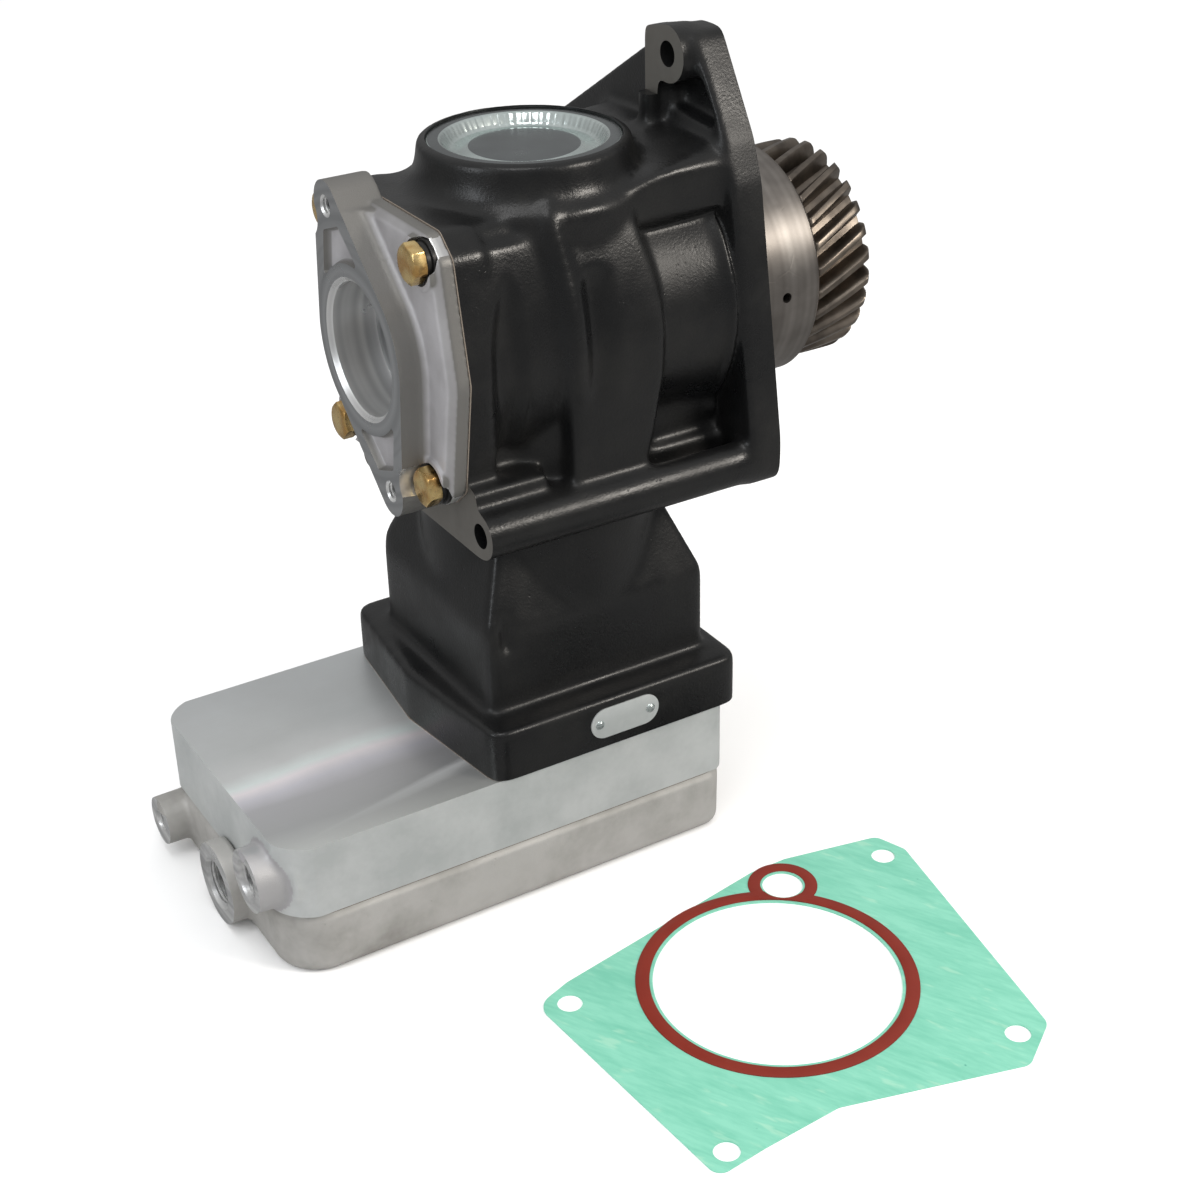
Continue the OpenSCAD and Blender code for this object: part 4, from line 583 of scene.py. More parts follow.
def rounded(points, radii, steps=6):
    """A closed outline whose corners are rounded by the radii."""
    result = []
    count = len(points)
    for i, (point, radius) in enumerate(zip(points, radii)):
        p = np.array(point, float)
        a = np.array(points[i - 1], float) - p
        b = np.array(points[(i + 1) % count], float) - p
        a /= np.linalg.norm(a)
        b /= np.linalg.norm(b)
        if radius <= 0:
            result.append(p)
            continue
        half = math.acos(np.clip(a @ b, -1, 1)) / 2
        run = radius / math.tan(half)
        centre = p + (a + b) / np.linalg.norm(a + b) * radius / math.sin(half)
        start = p + a * run - centre
        end = p + b * run - centre
        a0 = math.atan2(start[1], start[0])
        turn = math.atan2(start[0] * end[1] - start[1] * end[0], start @ end)
        for k in range(steps + 1):
            t = a0 + turn * k / steps
            result.append(centre + radius * np.array((math.cos(t), math.sin(t))))
    return np.array(result)


def outward(outline):
    """Unit directions that lead out of a closed outline, one a point."""
    before = outline - np.roll(outline, 1, axis=0)
    ahead = np.roll(outline, -1, axis=0)
    after = ahead - outline
    before /= np.linalg.norm(before, axis=1)[:, None]
    after /= np.linalg.norm(after, axis=1)[:, None]
    normals = []
    side = np.sign(np.sum(outline[:, 0] * ahead[:, 1] - ahead[:, 0] * outline[:, 1]))
    for u, w in zip(before, after):
        n = np.array((u[1] + w[1], -u[0] - w[0])) * side
        n /= np.linalg.norm(n)
        normals.append(n / max(0.5, n @ np.array((u[1], -u[0])) * side))
    return np.array(normals)


def stack_faces(levels, count):
    """The faces between level upon level of closed outlines, and the two end faces."""
    faces = []
    for a in range(0, (levels - 1) * count, count):
        for i in range(count):
            j = (i + 1) % count
            faces.append((a + i, a + j, a + count + j, a + count + i))
    faces.append(tuple(range(count)))
    faces.append(tuple(range((levels - 1) * count, levels * count)))
    return faces


def loft(name, outline, levels, axis="X"):
    """Stacks an outline at (grow, place) levels: grow moves its edge outward, place is along the axis."""
    directions = outward(outline)
    points = []
    for grow, along in levels:
        for p, d in zip(outline, directions):
            q = p + d * grow
            points.append([c * MM for c in ((along, q[0], q[1]) if axis == "X" else (q[0], q[1], along))])
    return tidy_mesh(mesh_object(name, points, stack_faces(len(levels), len(outline))), 1e-9)


def soften(obj, iterations):
    modify(obj, "SMOOTH", factor=0.5, iterations=iterations)
    apply_all(obj)


def recast(obj, voxel, iterations, faces_wanted, sculpt=None):
    """Remeshes obj finely, smooths it as sand casting would, sculpts it, and thins out the flat parts."""
    modify(obj, "REMESH", mode="VOXEL", voxel_size=voxel * MM)
    soften(obj, iterations)
    if sculpt:
        sculpt(obj)
        soften(obj, 12)
    obj.data.calc_loop_triangles()
    modify(obj, "DECIMATE", ratio=min(1.0, faces_wanted / len(obj.data.loop_triangles)))
    return apply_all(obj)


def face_data(obj):
    """Centres in millimetres and normals of all faces."""
    count = len(obj.data.polygons)
    centres, normals = np.empty(count * 3), np.empty(count * 3)
    obj.data.polygons.foreach_get("center", centres)
    obj.data.polygons.foreach_get("normal", normals)
    return centres.reshape(-1, 3) / MM, normals.reshape(-1, 3)


def reach(places, y, z):
    """How far places are from a line along X."""
    return np.hypot(places[:, 1] - y, places[:, 2] - z)


def paint_faces(obj, materials, index):
    obj.data.materials.clear()
    for material in materials:
        obj.data.materials.append(material)
    obj.data.polygons.foreach_set("material_index", np.asarray(index, dtype=np.int32))


def coat(obj, material):
    """One material for every face."""
    paint_faces(obj, [material], np.zeros(len(obj.data.polygons)))


def dress(obj, angle, body, slot, *replaced):
    """Shades a piece smooth up to an angle, lets it ride a body and hides its solids; its slot is not used.
    """
    obj.data.polygons.foreach_set("use_smooth", [True] * len(obj.data.polygons))
    obj.data.set_sharp_from_angle(angle=math.radians(angle))
    obj.data.update()
    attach(obj, body)
    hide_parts(*replaced)
    print(obj.name, len(obj.data.polygons), "faces")


# %% [markdown]
# ## The crankcase casting
# The solid model gives the forms. Its openings are filled, its machined faces moved out by a few
# millimetres, the whole is recast, and then planes and bores are cut where a mill and a lathe cut.

# %% Crankcase
FACE_X = -163.5
DECK_Z = -207.8
HORN_X = -22.5
CYLINDER_X = -94.0
BOLT_HOLES = [(-13, 116), (111, 37), (48.5, -108)]
TUBE = (-68.5, -75)
OIL_HOLE = (-40.5, 63)
BOLT_Y, BOLT_Z = 45.2, 54.7
COVER_BOLTS = [(y, z) for y in (-BOLT_Y, BOLT_Y) for z in (-BOLT_Z, BOLT_Z)]
HEAD_BOLTS = [(CYLINDER_X + x, y) for x in (-50, 50) for y in (-62, 62)]
DOWELS = [(CYLINDER_X - 54, -36), (CYLINDER_X + 54, 36)]
STOCK = 6.0


def side_skin(x0, x1, shoulder_y, shoulder_z, bend_y, bend_z, waist):
    """A prism along X whose sides run in one soft curve from the shoulder down to the waist."""
    curve = []
    for i in range(13):
        t = i / 12
        curve.append(((1 - t) ** 2 * shoulder_y + 2 * t * (1 - t) * bend_y + t * t * waist,
                      (1 - t) ** 2 * shoulder_z + 2 * t * (1 - t) * bend_z))
    for i in range(1, 9):
        a = math.radians(-5 * i)
        curve.append((waist * math.cos(a), waist * math.sin(a)))
    outline = np.array(curve + [(-y, z) for y, z in reversed(curve)])
    return loft("skin", outline, [(0, x0), (0, x1)])


def rib_sweep():
    """The rounded rib that hooks forward at the foot of the boss and runs down beside the valley."""
    path = [(-104, -44, 68), (-111, -50.5, 67.5), (-114, -54, 63), (-111.5, -56.5, 51), (-109.8, -60.8, 37),
            (-109.3, -65, 22), (-109, -67.2, 5), (-108.5, -67, -12), (-107, -62.5, -30)]
    curve = bpy.data.curves.new("rib", "CURVE")
    curve.dimensions = "3D"
    curve.bevel_depth = 6.4 * MM
    curve.bevel_resolution = 6
    curve.use_fill_caps = True
    spline = curve.splines.new("NURBS")
    spline.points.add(len(path) - 1)
    for point, place in zip(spline.points, path):
        point.co = (*[c * MM for c in place], 1)
    spline.use_endpoint_u = True
    spline.order_u = 4
    spline.resolution_u = 8
    holder = add_object("rib", curve)
    mesh = bpy.data.meshes.new_from_object(holder.evaluated_get(bpy.context.evaluated_depsgraph_get()))
    bpy.data.objects.remove(holder)
    bpy.data.curves.remove(curve)
    return tidy_mesh(add_object("rib", mesh))


def ease(value, low, high):
    t = np.clip((value - low) / (high - low), 0, 1)
    return t * t * (3 - 2 * t)


def sculpt_sides(obj):
    """Soft leaf pocket, valley behind the rib and flare of the rear panel, moved in along the radius."""
    count = len(obj.data.vertices)
    places = np.empty(count * 3)
    obj.data.vertices.foreach_get("co", places)
    places = places.reshape(-1, 3) / MM
    x, y, z = places.T
    radius = np.hypot(y, z)
    skin = ease(radius, 57, 59) * (1 - ease(radius, 73, 76)) * ease(np.abs(y), 30, 40)
    skin *= ease(z, -60, -50) * (1 - ease(z, 50, 60)) * (x < -19)
    leaf = 1 - ((x + 142.5 - 0.0022 * z * z) / 9.5) ** 2 - ((z + 2) / 50) ** 2
    depth = 4.6 * ease(leaf, 0.0, 0.8) * (x < -125)
    valley = ease(x, -105.0, -98.0) * (1 - ease(x, -98, -84)) * ease(z, -34, 10)
    depth += 5.0 * valley * (x > -106)
    flare = np.clip((x + 60) / 36, 0, 1)
    depth += (1.5 - 3.0 * flare ** 2 - 4.0 * ease(x, -25, -17)) * (x > -59)
    move = (skin * depth / np.maximum(radius, 1))[:, None]
    places[:, 1:] -= places[:, 1:] * move
    obj.data.vertices.foreach_set("co", (places * MM).ravel())
    obj.data.update()


casting = solid_copy("crankcase", "crankcase_casting")
rear_band = side_skin(-111, -58, 58.5, 54, 69.5, 27, 71)
combine(rear_band, [rod(209.5, -120, 120, (-270, 0), "Y", 256)], "INTERSECT")
foot_outline = np.array([(-71, 4), (-71, 0), (-69.9, -28), (-60, -28), (-60, 4)])
foot_fill = loft("foot_fill", foot_outline, [(0, -106), (0, -95)])
neck = lathe("neck", [(0, 50), (60, 50), (60, 66.5), (57.2, 68.3), (54.2, 71), (52.3, 75), (51.4, 80),
                      (0, 80)], (CYLINDER_X, 0, 0), "Z", 128)
fills = [
    rod(61.5, FACE_X + 4, -20), rod(52, FACE_X, FACE_X + 20), rod(29, -30, 37.5),
    rod(46.5, DECK_Z, -20, (CYLINDER_X, 0), "Z"), rod(47.5, 20, 87.6, (CYLINDER_X, 0), "Z"),
    rod(8.2, -30, 0, OIL_HOLE), rod(7, FACE_X, 0, TUBE),
]
fills += rods(7, HORN_X, 0, BOLT_HOLES)
fills += rods(5.6, FACE_X, FACE_X + 18, COVER_BOLTS)
fills += rods(5.6, DECK_Z, DECK_Z + 18, HEAD_BOLTS, "Z")
fills += rods(4.5, DECK_Z, DECK_Z + 9, DOWELS, "Z")
combine(casting, fills, "UNION")
front_panel = side_skin(FACE_X + 3, -112, 54.5, 58, 65, 27, 66.3)
behind_rib = side_skin(-107, -94, 58.5, 54, 69.5, 27, 71)
combine(casting, [front_panel, rear_band, behind_rib, foot_fill, rib_sweep(), neck], "UNION")
for vertex in casting.data.vertices:
    for axis, plane, outwards in (("x", 0, 1), ("x", FACE_X, -1), ("x", HORN_X, -1), ("z", DECK_Z, -1)):
        if abs(getattr(vertex.co, axis) / MM - plane) < 0.01:
            setattr(vertex.co, axis, (plane + outwards * STOCK) * MM)
recast(casting, 1.4, 32, 170000, sculpt_sides)
print("recast:", len(casting.data.polygons))

cuts = [
    block((0, -200, -200), (80, 200, 200)), block((-300, -200, -92), (FACE_X, 200, 300)),
    block((-300, -200, -400), (300, 200, DECK_Z)), block((-60, -40, 95), (HORN_X, 20, 200)),
    *rods(15.5, HORN_X - STOCK - 1, HORN_X, BOLT_HOLES[1:]),
]
combine(casting, cuts, "DIFFERENCE")
spigot = lathe("spigot", [(0, -3), (58.2, -3), (58.2, 0), (57.6, 1.2), (59, 2.2), (59, 35.9), (57.6, 37.5),
                          (0, 37.5)], (0, 0, 0), segments=160)
combine(casting, [spigot], "UNION")
bores = [
    rod(60, FACE_X + 10, -26), rod(50, FACE_X - 5, FACE_X + 12), rod(27, -30, 45),
    rod(45, DECK_Z - 5, 0, (CYLINDER_X, 0), "Z"), rod(39.5, 0, 90, (CYLINDER_X, 0), "Z"),
    rod(46.5, 76.6, 95, (CYLINDER_X, 0), "Z"), rod(7.5, -24, 5, OIL_HOLE, segments=48),
    rod(6.2, FACE_X - 5, 5, TUBE, segments=48), rod(2.6, -64, -20, (17, 0), "Y", 32),
]
bores += rods(6.2, HORN_X - 10, 5, BOLT_HOLES, segments=48)
bores += rods(5, FACE_X - 5, FACE_X + 15.5, COVER_BOLTS, segments=48)
bores += rods(5, DECK_Z - 5, DECK_Z + 16, HEAD_BOLTS, "Z", 48)
combine(casting, bores, "DIFFERENCE")
tidy_mesh(casting, 2e-6)
centres, normals = face_data(casting)
flat = ((np.abs(centres[:, 0]) < 0.05) & (normals[:, 0] > 0.9)
        | (np.abs(centres[:, 0] - FACE_X) < 0.05) & (normals[:, 0] < -0.9)
        | (np.abs(centres[:, 2] - DECK_Z) < 0.05)
        | (np.abs(centres[:, 0] - HORN_X) < 0.05) & (normals[:, 0] < -0.9))
inside = reach(centres, 0, 0) < 60.3
paint_faces(casting, [PAINT, IRON, SPIGOT],
            np.where(centres[:, 0] > 0.05, 2, np.where(flat | inside & (centres[:, 2] < 60), 1, 0)))
dress(casting, 40, "housing", "black_casting", "crankcase")

# %% [markdown]
# ## Geometry Nodes tools
# What repeats is made by Geometry Nodes: teeth round the gear, four bolts at the corners of the
# cover, and the threads in the holes. Each group has named inputs and ends in one plain mesh.

# %% Geometry Nodes tools


def geometry_group(name, inputs, takes_mesh=True):
    tree = bpy.data.node_groups.new(name, "GeometryNodeTree")
    face = tree.interface
    if takes_mesh:
        face.new_socket("Geometry", in_out="INPUT", socket_type="NodeSocketGeometry")
    for key, value in inputs.items():
        kind = "Int" if isinstance(value, int) else "Float"
        face.new_socket(key, in_out="INPUT", socket_type="NodeSocket" + kind).default_value = value
    face.new_socket("Material", in_out="INPUT", socket_type="NodeSocketMaterial")
    face.new_socket("Geometry", in_out="OUTPUT", socket_type="NodeSocketGeometry")
    tools = Tree(tree)
    return tools, tools.add("NodeGroupInput").outputs, tools.add("NodeGroupOutput").inputs


def finish_group(t, given, result, geometry):
    realize = t.add("GeometryNodeRealizeInstances", in_0=geometry)
    painted = t.add("GeometryNodeSetMaterial", in_Geometry=realize.outputs[0], in_Material=given["Material"])
    return t.give(result, Geometry=painted.outputs[0])


def repeat_group(t, given, result, place, turn):
    """Sets a mesh at as many points as asked, each placed and turned by its number."""
    points = t.add("GeometryNodePoints", in_Count=given["Count"], in_Position=place)
    copies = t.add("GeometryNodeInstanceOnPoints", in_Points=points.outputs[0], in_Instance=given["Geometry"],
                   in_Rotation=turn)
    return finish_group(t, given, result, copies.outputs[0])


def around_group():
    """Repeats a mesh in a ring round the X axis."""
    t, given, result = geometry_group("repeat around", {"Count": 12})
    step = t.math("DIVIDE", 2 * math.pi, given["Count"])
    turn = t.math("MULTIPLY", t.add("GeometryNodeInputIndex").outputs[0], step)
    return repeat_group(t, given, result, (0, 0, 0), t.combine(turn, 0.0))


def corners_group():
    """Repeats a mesh at the four corners of an upright rectangle, or at two ends when Up is zero."""
    sizes = {"Count": 4, "Along": 0.0, "Across": 0.04, "Up": 0.05}
    t, given, result = geometry_group("repeat at corners", sizes)
    index = t.add("GeometryNodeInputIndex").outputs[0]
    side = t.math("MULTIPLY_ADD", t.math("MODULO", index, 2.0), 2.0, -1.0)
    level = t.math("MULTIPLY_ADD", t.math("FLOOR", t.math("DIVIDE", index, 2.0)), 2.0, -1.0)
    place = t.combine(*(t.math("MULTIPLY", sign, given[key])
                        for sign, key in ((side, "Along"), (side, "Across"), (level, "Up"))))
    return repeat_group(t, given, result, place, (0, 0, 0))


def thread_group():
    """A thread ridge: a four-sided strip swept along a spiral that runs along X."""
    sizes = {"Radius": 0.01, "Pitch": 0.0015, "Turns": 10.0, "Ridge": 0.0008, "X": 0.0, "Y": 0.0, "Z": 0.0}
    t, given, result = geometry_group("thread", sizes, False)
    spiral = t.add("GeometryNodeCurveSpiral", in_Resolution=64, in_Rotations=given["Turns"],
                   in_Start_Radius=given["Radius"], in_End_Radius=given["Radius"],
                   in_Height=t.math("MULTIPLY", given["Pitch"], given["Turns"]))
    ridge = t.add("GeometryNodeCurvePrimitiveCircle", in_Resolution=4, in_Radius=given["Ridge"])
    sweep = t.add("GeometryNodeCurveToMesh", in_Curve=spiral.outputs[0], in_Profile_Curve=ridge.outputs[0])
    put = t.add("GeometryNodeTransform", in_Geometry=sweep.outputs[0], in_Rotation=(0, math.pi / 2, 0),
                in_Translation=t.combine(given["X"], given["Y"], given["Z"]))
    return finish_group(t, given, result, put.outputs[0])


AROUND = around_group()
CORNERS = corners_group()
THREAD = thread_group()


def grow(obj, tree, material, **values):
    """Runs a Geometry Nodes group on obj and keeps the plain mesh it makes."""
    modifier = obj.modifiers.new("nodes", "NODES")
    modifier.node_group = tree
    for item in tree.interface.items_tree:
        if item.in_out == "INPUT" and item.name in values:
            modifier[item.identifier] = values[item.name]
        elif item.in_out == "INPUT" and item.name == "Material":
            modifier[item.identifier] = material
    return apply_all(obj)


def thread(radius, pitch, start, depth, centre, material):
    """Thread ridges in a hole along X, from start inwards."""
    holder = mesh_object("thread", [], [])
    return grow(holder, THREAD, material, Radius=radius * MM, Pitch=pitch * MM, Turns=depth / pitch,
                Ridge=0.42 * pitch * MM, X=start * MM, Y=centre[0] * MM, Z=centre[1] * MM)


def join_meshes(obj, *others):
    """Adds the others' faces and materials to obj."""
    work = bmesh.new()
    slots = list(obj.data.materials)
    work.from_mesh(obj.data)
    for other in others:
        first = len(work.faces)
        work.from_mesh(other.data)
        work.faces.ensure_lookup_table()
        for material in other.data.materials:
            if material not in slots:
                slots.append(material)
        if other.data.materials:
            for face in work.faces[first:]:
                face.material_index = slots.index(other.data.materials[face.material_index])
    index = [face.material_index for face in work.faces]
    work.to_mesh(obj.data)
    work.free()
    paint_faces(obj, slots, index)
    drop(*others)
    return obj


def hollows_of(node, low, high):
    """What is missing from a solid inside a block: its ports, recesses and holes."""
    shape = block(low, high)
    return combine(shape, [solid_copy(node, "solid")], "DIFFERENCE")


def hole_cutter(radius, start, depth, centre, chamfer=1.4):
    """A round hole along X with a chamfered mouth, entered from smaller X."""
    mouth = radius + chamfer
    profile = [(0, start - 3), (mouth, start - 3), (mouth, start), (radius, start + chamfer),
               (radius, start + depth), (0, start + depth)]
    return lathe("hole", profile, (0, *centre), segments=64)


# %% [markdown]
# ## The pump cover
# A flat plate carries a diamond flange with drafted walls. As with the crankcase, it is recast so
# that the walls flow into the plate, and then faced, bored, pocketed and drilled.

# %% Pump cover
PLATE_X = -174.0
PUMP_X = -187.0
BACK_X = -164.0
LOBE_REACH = 67.85
PUMP_LOBES = [(LOBE_REACH * math.cos(a), LOBE_REACH * math.sin(a)) for a in np.radians((69.3, 249.3))]


def diamond(ring, lobe):
    """Outline round a ring and two lobes, joined by straight tangents."""
    points = []
    for y, z in PUMP_LOBES:
        t0 = math.atan2(z, y)
        spread = math.acos((ring - lobe) / LOBE_REACH)
        points += [(y + lobe * math.cos(t), z + lobe * math.sin(t))
                   for t in np.linspace(t0 - spread, t0 + spread, 17)]
        points += [(ring * math.cos(t), ring * math.sin(t))
                   for t in np.linspace(t0 + spread, t0 + math.pi - spread, 13)[1:-1]]
    return np.array(points)


def cover_outline(inset=0):
    s, c, side = (46 - inset / 2, 67 - inset), (57.5 - inset, 57 - inset / 2), 68 - inset
    half = [(s[0], s[1]), (-s[0], s[1]), (-c[0], c[1]), (-side, 0), (-c[0], -c[1]), (-s[0], -s[1]),
            (s[0], -s[1]), (c[0], -c[1]), (side, 0), (c[0], c[1])]
    return rounded(half, [6, 6, 6, 14, 6, 6, 6, 6, 14, 6])


cover = loft("pump_cover_casting", cover_outline(), [(0, BACK_X), (0, PLATE_X + 4), (-4, PLATE_X)])
flange_walls = loft("walls", diamond(42.6, 12.1), [
    (5.5, PLATE_X + 3), (3.4, PLATE_X - 0.6), (1.9, PLATE_X - 2.2), (1.0, PLATE_X - 4.5), (0, PUMP_X - 3)])
combine(flange_walls, [loft("limit", cover_outline(2), [(0, PUMP_X - 5), (0, BACK_X)])], "INTERSECT")
lobes = loft("lobes", diamond(42.8, 12.4), [(0, BACK_X), (0, PUMP_X - 3)])
lip_outline = [(0, PLATE_X + 2), (13.6, PLATE_X + 2), (13.2, PLATE_X - 1.6), (0, PLATE_X - 1.6)]
lips = [lathe("lip", lip_outline, (0, y, z)) for y, z in COVER_BOLTS]
hub = rod(49.9, BACK_X - 2, -134.5)
for lip in lips:
    combine(lip, [loft("limit", cover_outline(2.4), [(0, PUMP_X), (0, BACK_X)])], "INTERSECT")
combine(cover, [flange_walls, lobes] + lips, "UNION")
recast(cover, 0.85, 7, 90000)
trims = [block((-220, -90, -90), (PUMP_X, 90, 90)), block((BACK_X, -90, -90), (-100, 90, 90))]
combine(cover, trims, "DIFFERENCE")
combine(cover, [hub], "UNION")
pocket_cutters = []
for y, z in PUMP_LOBES:
    ahead = np.array((y, z)) / LOBE_REACH
    aside = np.array((-ahead[1], ahead[0]))
    fan = [ahead * 57.5 + aside * 8.6]
    fan += [41.5 * (ahead * math.cos(a) + aside * math.sin(a)) for a in np.radians(np.linspace(31, -31, 15))]
    fan += [ahead * 57.5 - aside * 8.6]
    outline = rounded(fan, [2.2] + [1.4] + [0] * 13 + [1.4] + [2.2])
    pocket_cutters.append(loft("pocket", outline, [(0.4, PUMP_X - 1), (0.2, PUMP_X), (-1.0, PUMP_X + 3.4),
                                                   (-1.8, PUMP_X + 4)]))
combine(cover, pocket_cutters, "DIFFERENCE")
cover_cuts = [hole_cutter(32.5, PUMP_X, 25, (0, 0), 2.3), rod(18, -170, -130), rod(36, -154, -130),
              rod(37, -137, -135.2)]
cover_cuts += [hole_cutter(4.4, PUMP_X, 20, p, 1.0) for p in PUMP_LOBES]
cover_cuts += rods(10.9, PUMP_X - 2, -170, COVER_BOLTS, segments=64)
cover_cuts += rods(5.3, PUMP_X - 2, BACK_X + 3, COVER_BOLTS, segments=48)
combine(cover, cover_cuts, "DIFFERENCE")
tidy_mesh(cover, 2e-6)
centres, normals = face_data(cover)
faced = (np.abs(centres[:, 0] - PUMP_X) < 0.03) | (centres[:, 0] > BACK_X - 0.03)
bored = (reach(centres, 0, 0) < 35) & (centres[:, 0] < -150) & ~faced
for centre, radius in [(p, 5.6) for p in PUMP_LOBES] + [(p, 10.95) for p in COVER_BOLTS]:
    bored |= reach(centres, *centre) < radius
paint_faces(cover, [BLASTED, TURNED, BORED], np.where(faced, 1, np.where(bored, 2, 0)))
threads = [thread(4.15, 1.4, PUMP_X + 1.4, 16, p, BORED) for p in PUMP_LOBES]
join_meshes(cover, *threads)
dress(cover, 38, "housing", "cast_alloy", "pump_cover")

# %% [markdown]
# ## The bolts of the cover
# One bolt with its washers is turned and given its six sides; Geometry Nodes sets it in the four
# corners. The head's crown is domed a little and its corners are chamfered, as forging leaves them.

# %% Cover bolts
bolt_head = lathe("cover_bolts_gold", [
    (0, -7.0), (6.2, -6.95), (7.7, -6.8), (8.3, -6.5), (9.9, -5.6), (9.9, -0.6), (8.8, -0.05), (4.9, 0),
    (4.9, 19), (4.4, 20), (0, 20)], (-174.5, 0, 0), segments=72)
hexagon = loft("hexagon", rounded([(9.815 * math.cos(a), 9.815 * math.sin(a))
                                   for a in np.radians(np.arange(15, 375, 60))], [0.5] * 6, 2),
               [(0, -183), (0, -150)])
combine(bolt_head, [hexagon], "INTERSECT")
modify(bolt_head, "BEVEL", width=0.22 * MM, segments=2)
apply_all(bolt_head)
grow(bolt_head, CORNERS, YELLOW, Count=4, Across=BOLT_Y * MM, Up=BOLT_Z * MM)
dress(bolt_head, 30, "housing", "yellow_zinc", "cover_bolts")
spring_washer = lathe("cover_washers_black", [
    (5.3, -174.45), (8.6, -174.45), (9.0, -174.1), (9.0, -172.3), (8.7, -172.0), (9.9, -171.95),
    (10.2, -171.7), (10.2, -170.05), (5.3, -170.05)], (0, 0, 0), segments=72)
grow(spring_washer, CORNERS, OXIDE, Count=4, Across=BOLT_Y * MM, Up=BOLT_Z * MM)
dress(spring_washer, 30, "housing", "black_oxide", "cover_lock_washers", "cover_plain_washers")

# %% [markdown]
# ## The core plug
# A pressed cup closes the casting's core hole. It is a lathe shape; its standing wall is fluted by
# the press, which is a small wave in the radius between the rim and the floor.

# %% Core plug
PLUG_TOP = 86.4
plug_profile = [(0, -4.0), (24.5, -4.05), (26.5, -4.2), (29, -5.0), (31, -5.75), (33, -6.0), (34.6, -6.0),
                (35.8, -5.5), (36.6, -4.4), (38.6, -0.9), (39.4, -0.2), (40.3, 0), (45.4, 0), (46.2, -0.3),
                (46.5, -1.0), (46.5, -9.8), (44.5, -9.8), (44.5, -2.2), (40, -2.0), (37.6, -6), (36.4, -8),
                (31, -8), (27, -6.2), (0, -6.0)]
plug = lathe("core_plug_pressed", plug_profile, (CYLINDER_X, 0, PLUG_TOP), "Z", 360)
for vertex in plug.data.vertices:
    x, y, z = (c / MM for c in vertex.co)
    out = math.hypot(x - CYLINDER_X, y)
    if 36.0 < out < 39.0 and z > PLUG_TOP - 5.6:
        a = math.atan2(y, x - CYLINDER_X)
        wave = 0.16 * math.sin(72 * a) + 0.1 * math.sin(45 * a + 1.0) + 0.07 * math.sin(131 * a)
        vertex.co.x += wave * math.cos(a) * MM
        vertex.co.y += wave * math.sin(a) * MM
centres, normals = face_data(plug)
radius = np.hypot(centres[:, 0] - CYLINDER_X, centres[:, 1])
# The flat faces that look up, on the centre disc and the rim, get the darker zinc as painted shade.
paint_faces(plug, [ZINC, SHADED_ZINC], (normals[:, 2] > 0.98) & ((radius < 26.6) | (radius > 39)))
dress(plug, 50, "housing", "zinc_plate", "core_plug")

# %% [markdown]
# ## The helical gear
# One tooth is a stack of sections that turn a little with each step along the shaft. Its tip is cut
# back in a quarter round at both ends. Geometry Nodes sets 27 of them round the rim.

# %% Drive gear
GEAR_FRONT, GEAR_BACK = 39.5, 73.5
TEETH = 27
TOOTH_TURN = 0.3069


def one_tooth():
    """A closed tooth whose sections twist along X; half widths are in radians of the whole pitch."""
    pitch = 2 * math.pi / TEETH
    flank = [(46.0, 0.37), (47.6, 0.355), (48.3, 0.33), (49.6, 0.295), (51.0, 0.262), (52.4, 0.222),
             (53.7, 0.176), (54.6, 0.136), (54.92, 0.115), (55.0, 0.09)]
    stations = [39.5, 39.7, 40.1, 40.7, 41.5, 43, 46, 50, 54, 58, 62, 65, 67, 69, 70.4, 71.5, 72.3, 72.9,
                73.3, 73.5]
    points = []
    for x in stations:
        late = max(0.0, x - (GEAR_BACK - 5.5)) / 5.5
        early = max(0.0, GEAR_FRONT + 2.0 - x) / 2.0
        limit = 55.0 - 5.5 * (1 - math.sqrt(max(0.0, 1 - late ** 2)))
        limit -= 2.0 * (1 - math.sqrt(max(0.0, 1 - early ** 2)))
        slim = 1 - 0.10 * late ** 3 - 0.05 * early ** 3
        turn = -TOOTH_TURN * (x - GEAR_FRONT) / (GEAR_BACK - GEAR_FRONT)
        section = [(r, -h) for r, h in flank] + [(r, h) for r, h in reversed(flank)]
        for r, share in section:
            cut = min(r, limit)
            a = turn + share * pitch * slim
            points.append((x * MM, cut * math.cos(a) * MM, cut * math.sin(a) * MM))
    faces = stack_faces(len(stations), len(section))
    return tidy_mesh(mesh_object("drive_gear_teeth", points, faces), 1e-7)


teeth = one_tooth()
grow(teeth, AROUND, GEAR, Count=TEETH)
rim = lathe("rim", [
    (19.02, 39.5), (19.5, 39.5), (27.5, 39.5), (28, 40), (28.4, 47.2), (37.6, 47.2), (38, 40), (38.5, 39.5),
    (46.9, 39.5), (47.4, 40), (47.4, 73.0), (46.9, 73.5), (38.5, 73.5), (38, 73), (37.6, 65.8), (28.4, 65.8),
    (28, 63.5), (19.02, 63.5)], (0, 0, 0), segments=216)
key_slot = block((38, -2.5, 10), (62, 2.5, 21.4))
combine(rim, [key_slot], "DIFFERENCE")
join_meshes(teeth, rim)
coat(teeth, GEAR)
dress(teeth, 34, "crank", "gear_steel", "drive_gear")

# %% [markdown]
# ## The cylinder head
# A thick milled plate and a cast cover below it. The plate is cast with its suction boss and milled
# on top and sides, so only the boss keeps its soft foot; the cover stays as it came from the mould.

# %% Cylinder head
HEAD_FRONT, HEAD_BACK = -281.5, -29.0
HEAD_NEAR, HEAD_FAR = -76.5, 80.5
BOSS_FACE = -292
PLATE_TOP, PLATE_LOW = -208.4, -248.8
COVER_TOP = -250.0
BASE_Z = cad_box[0].z / MM


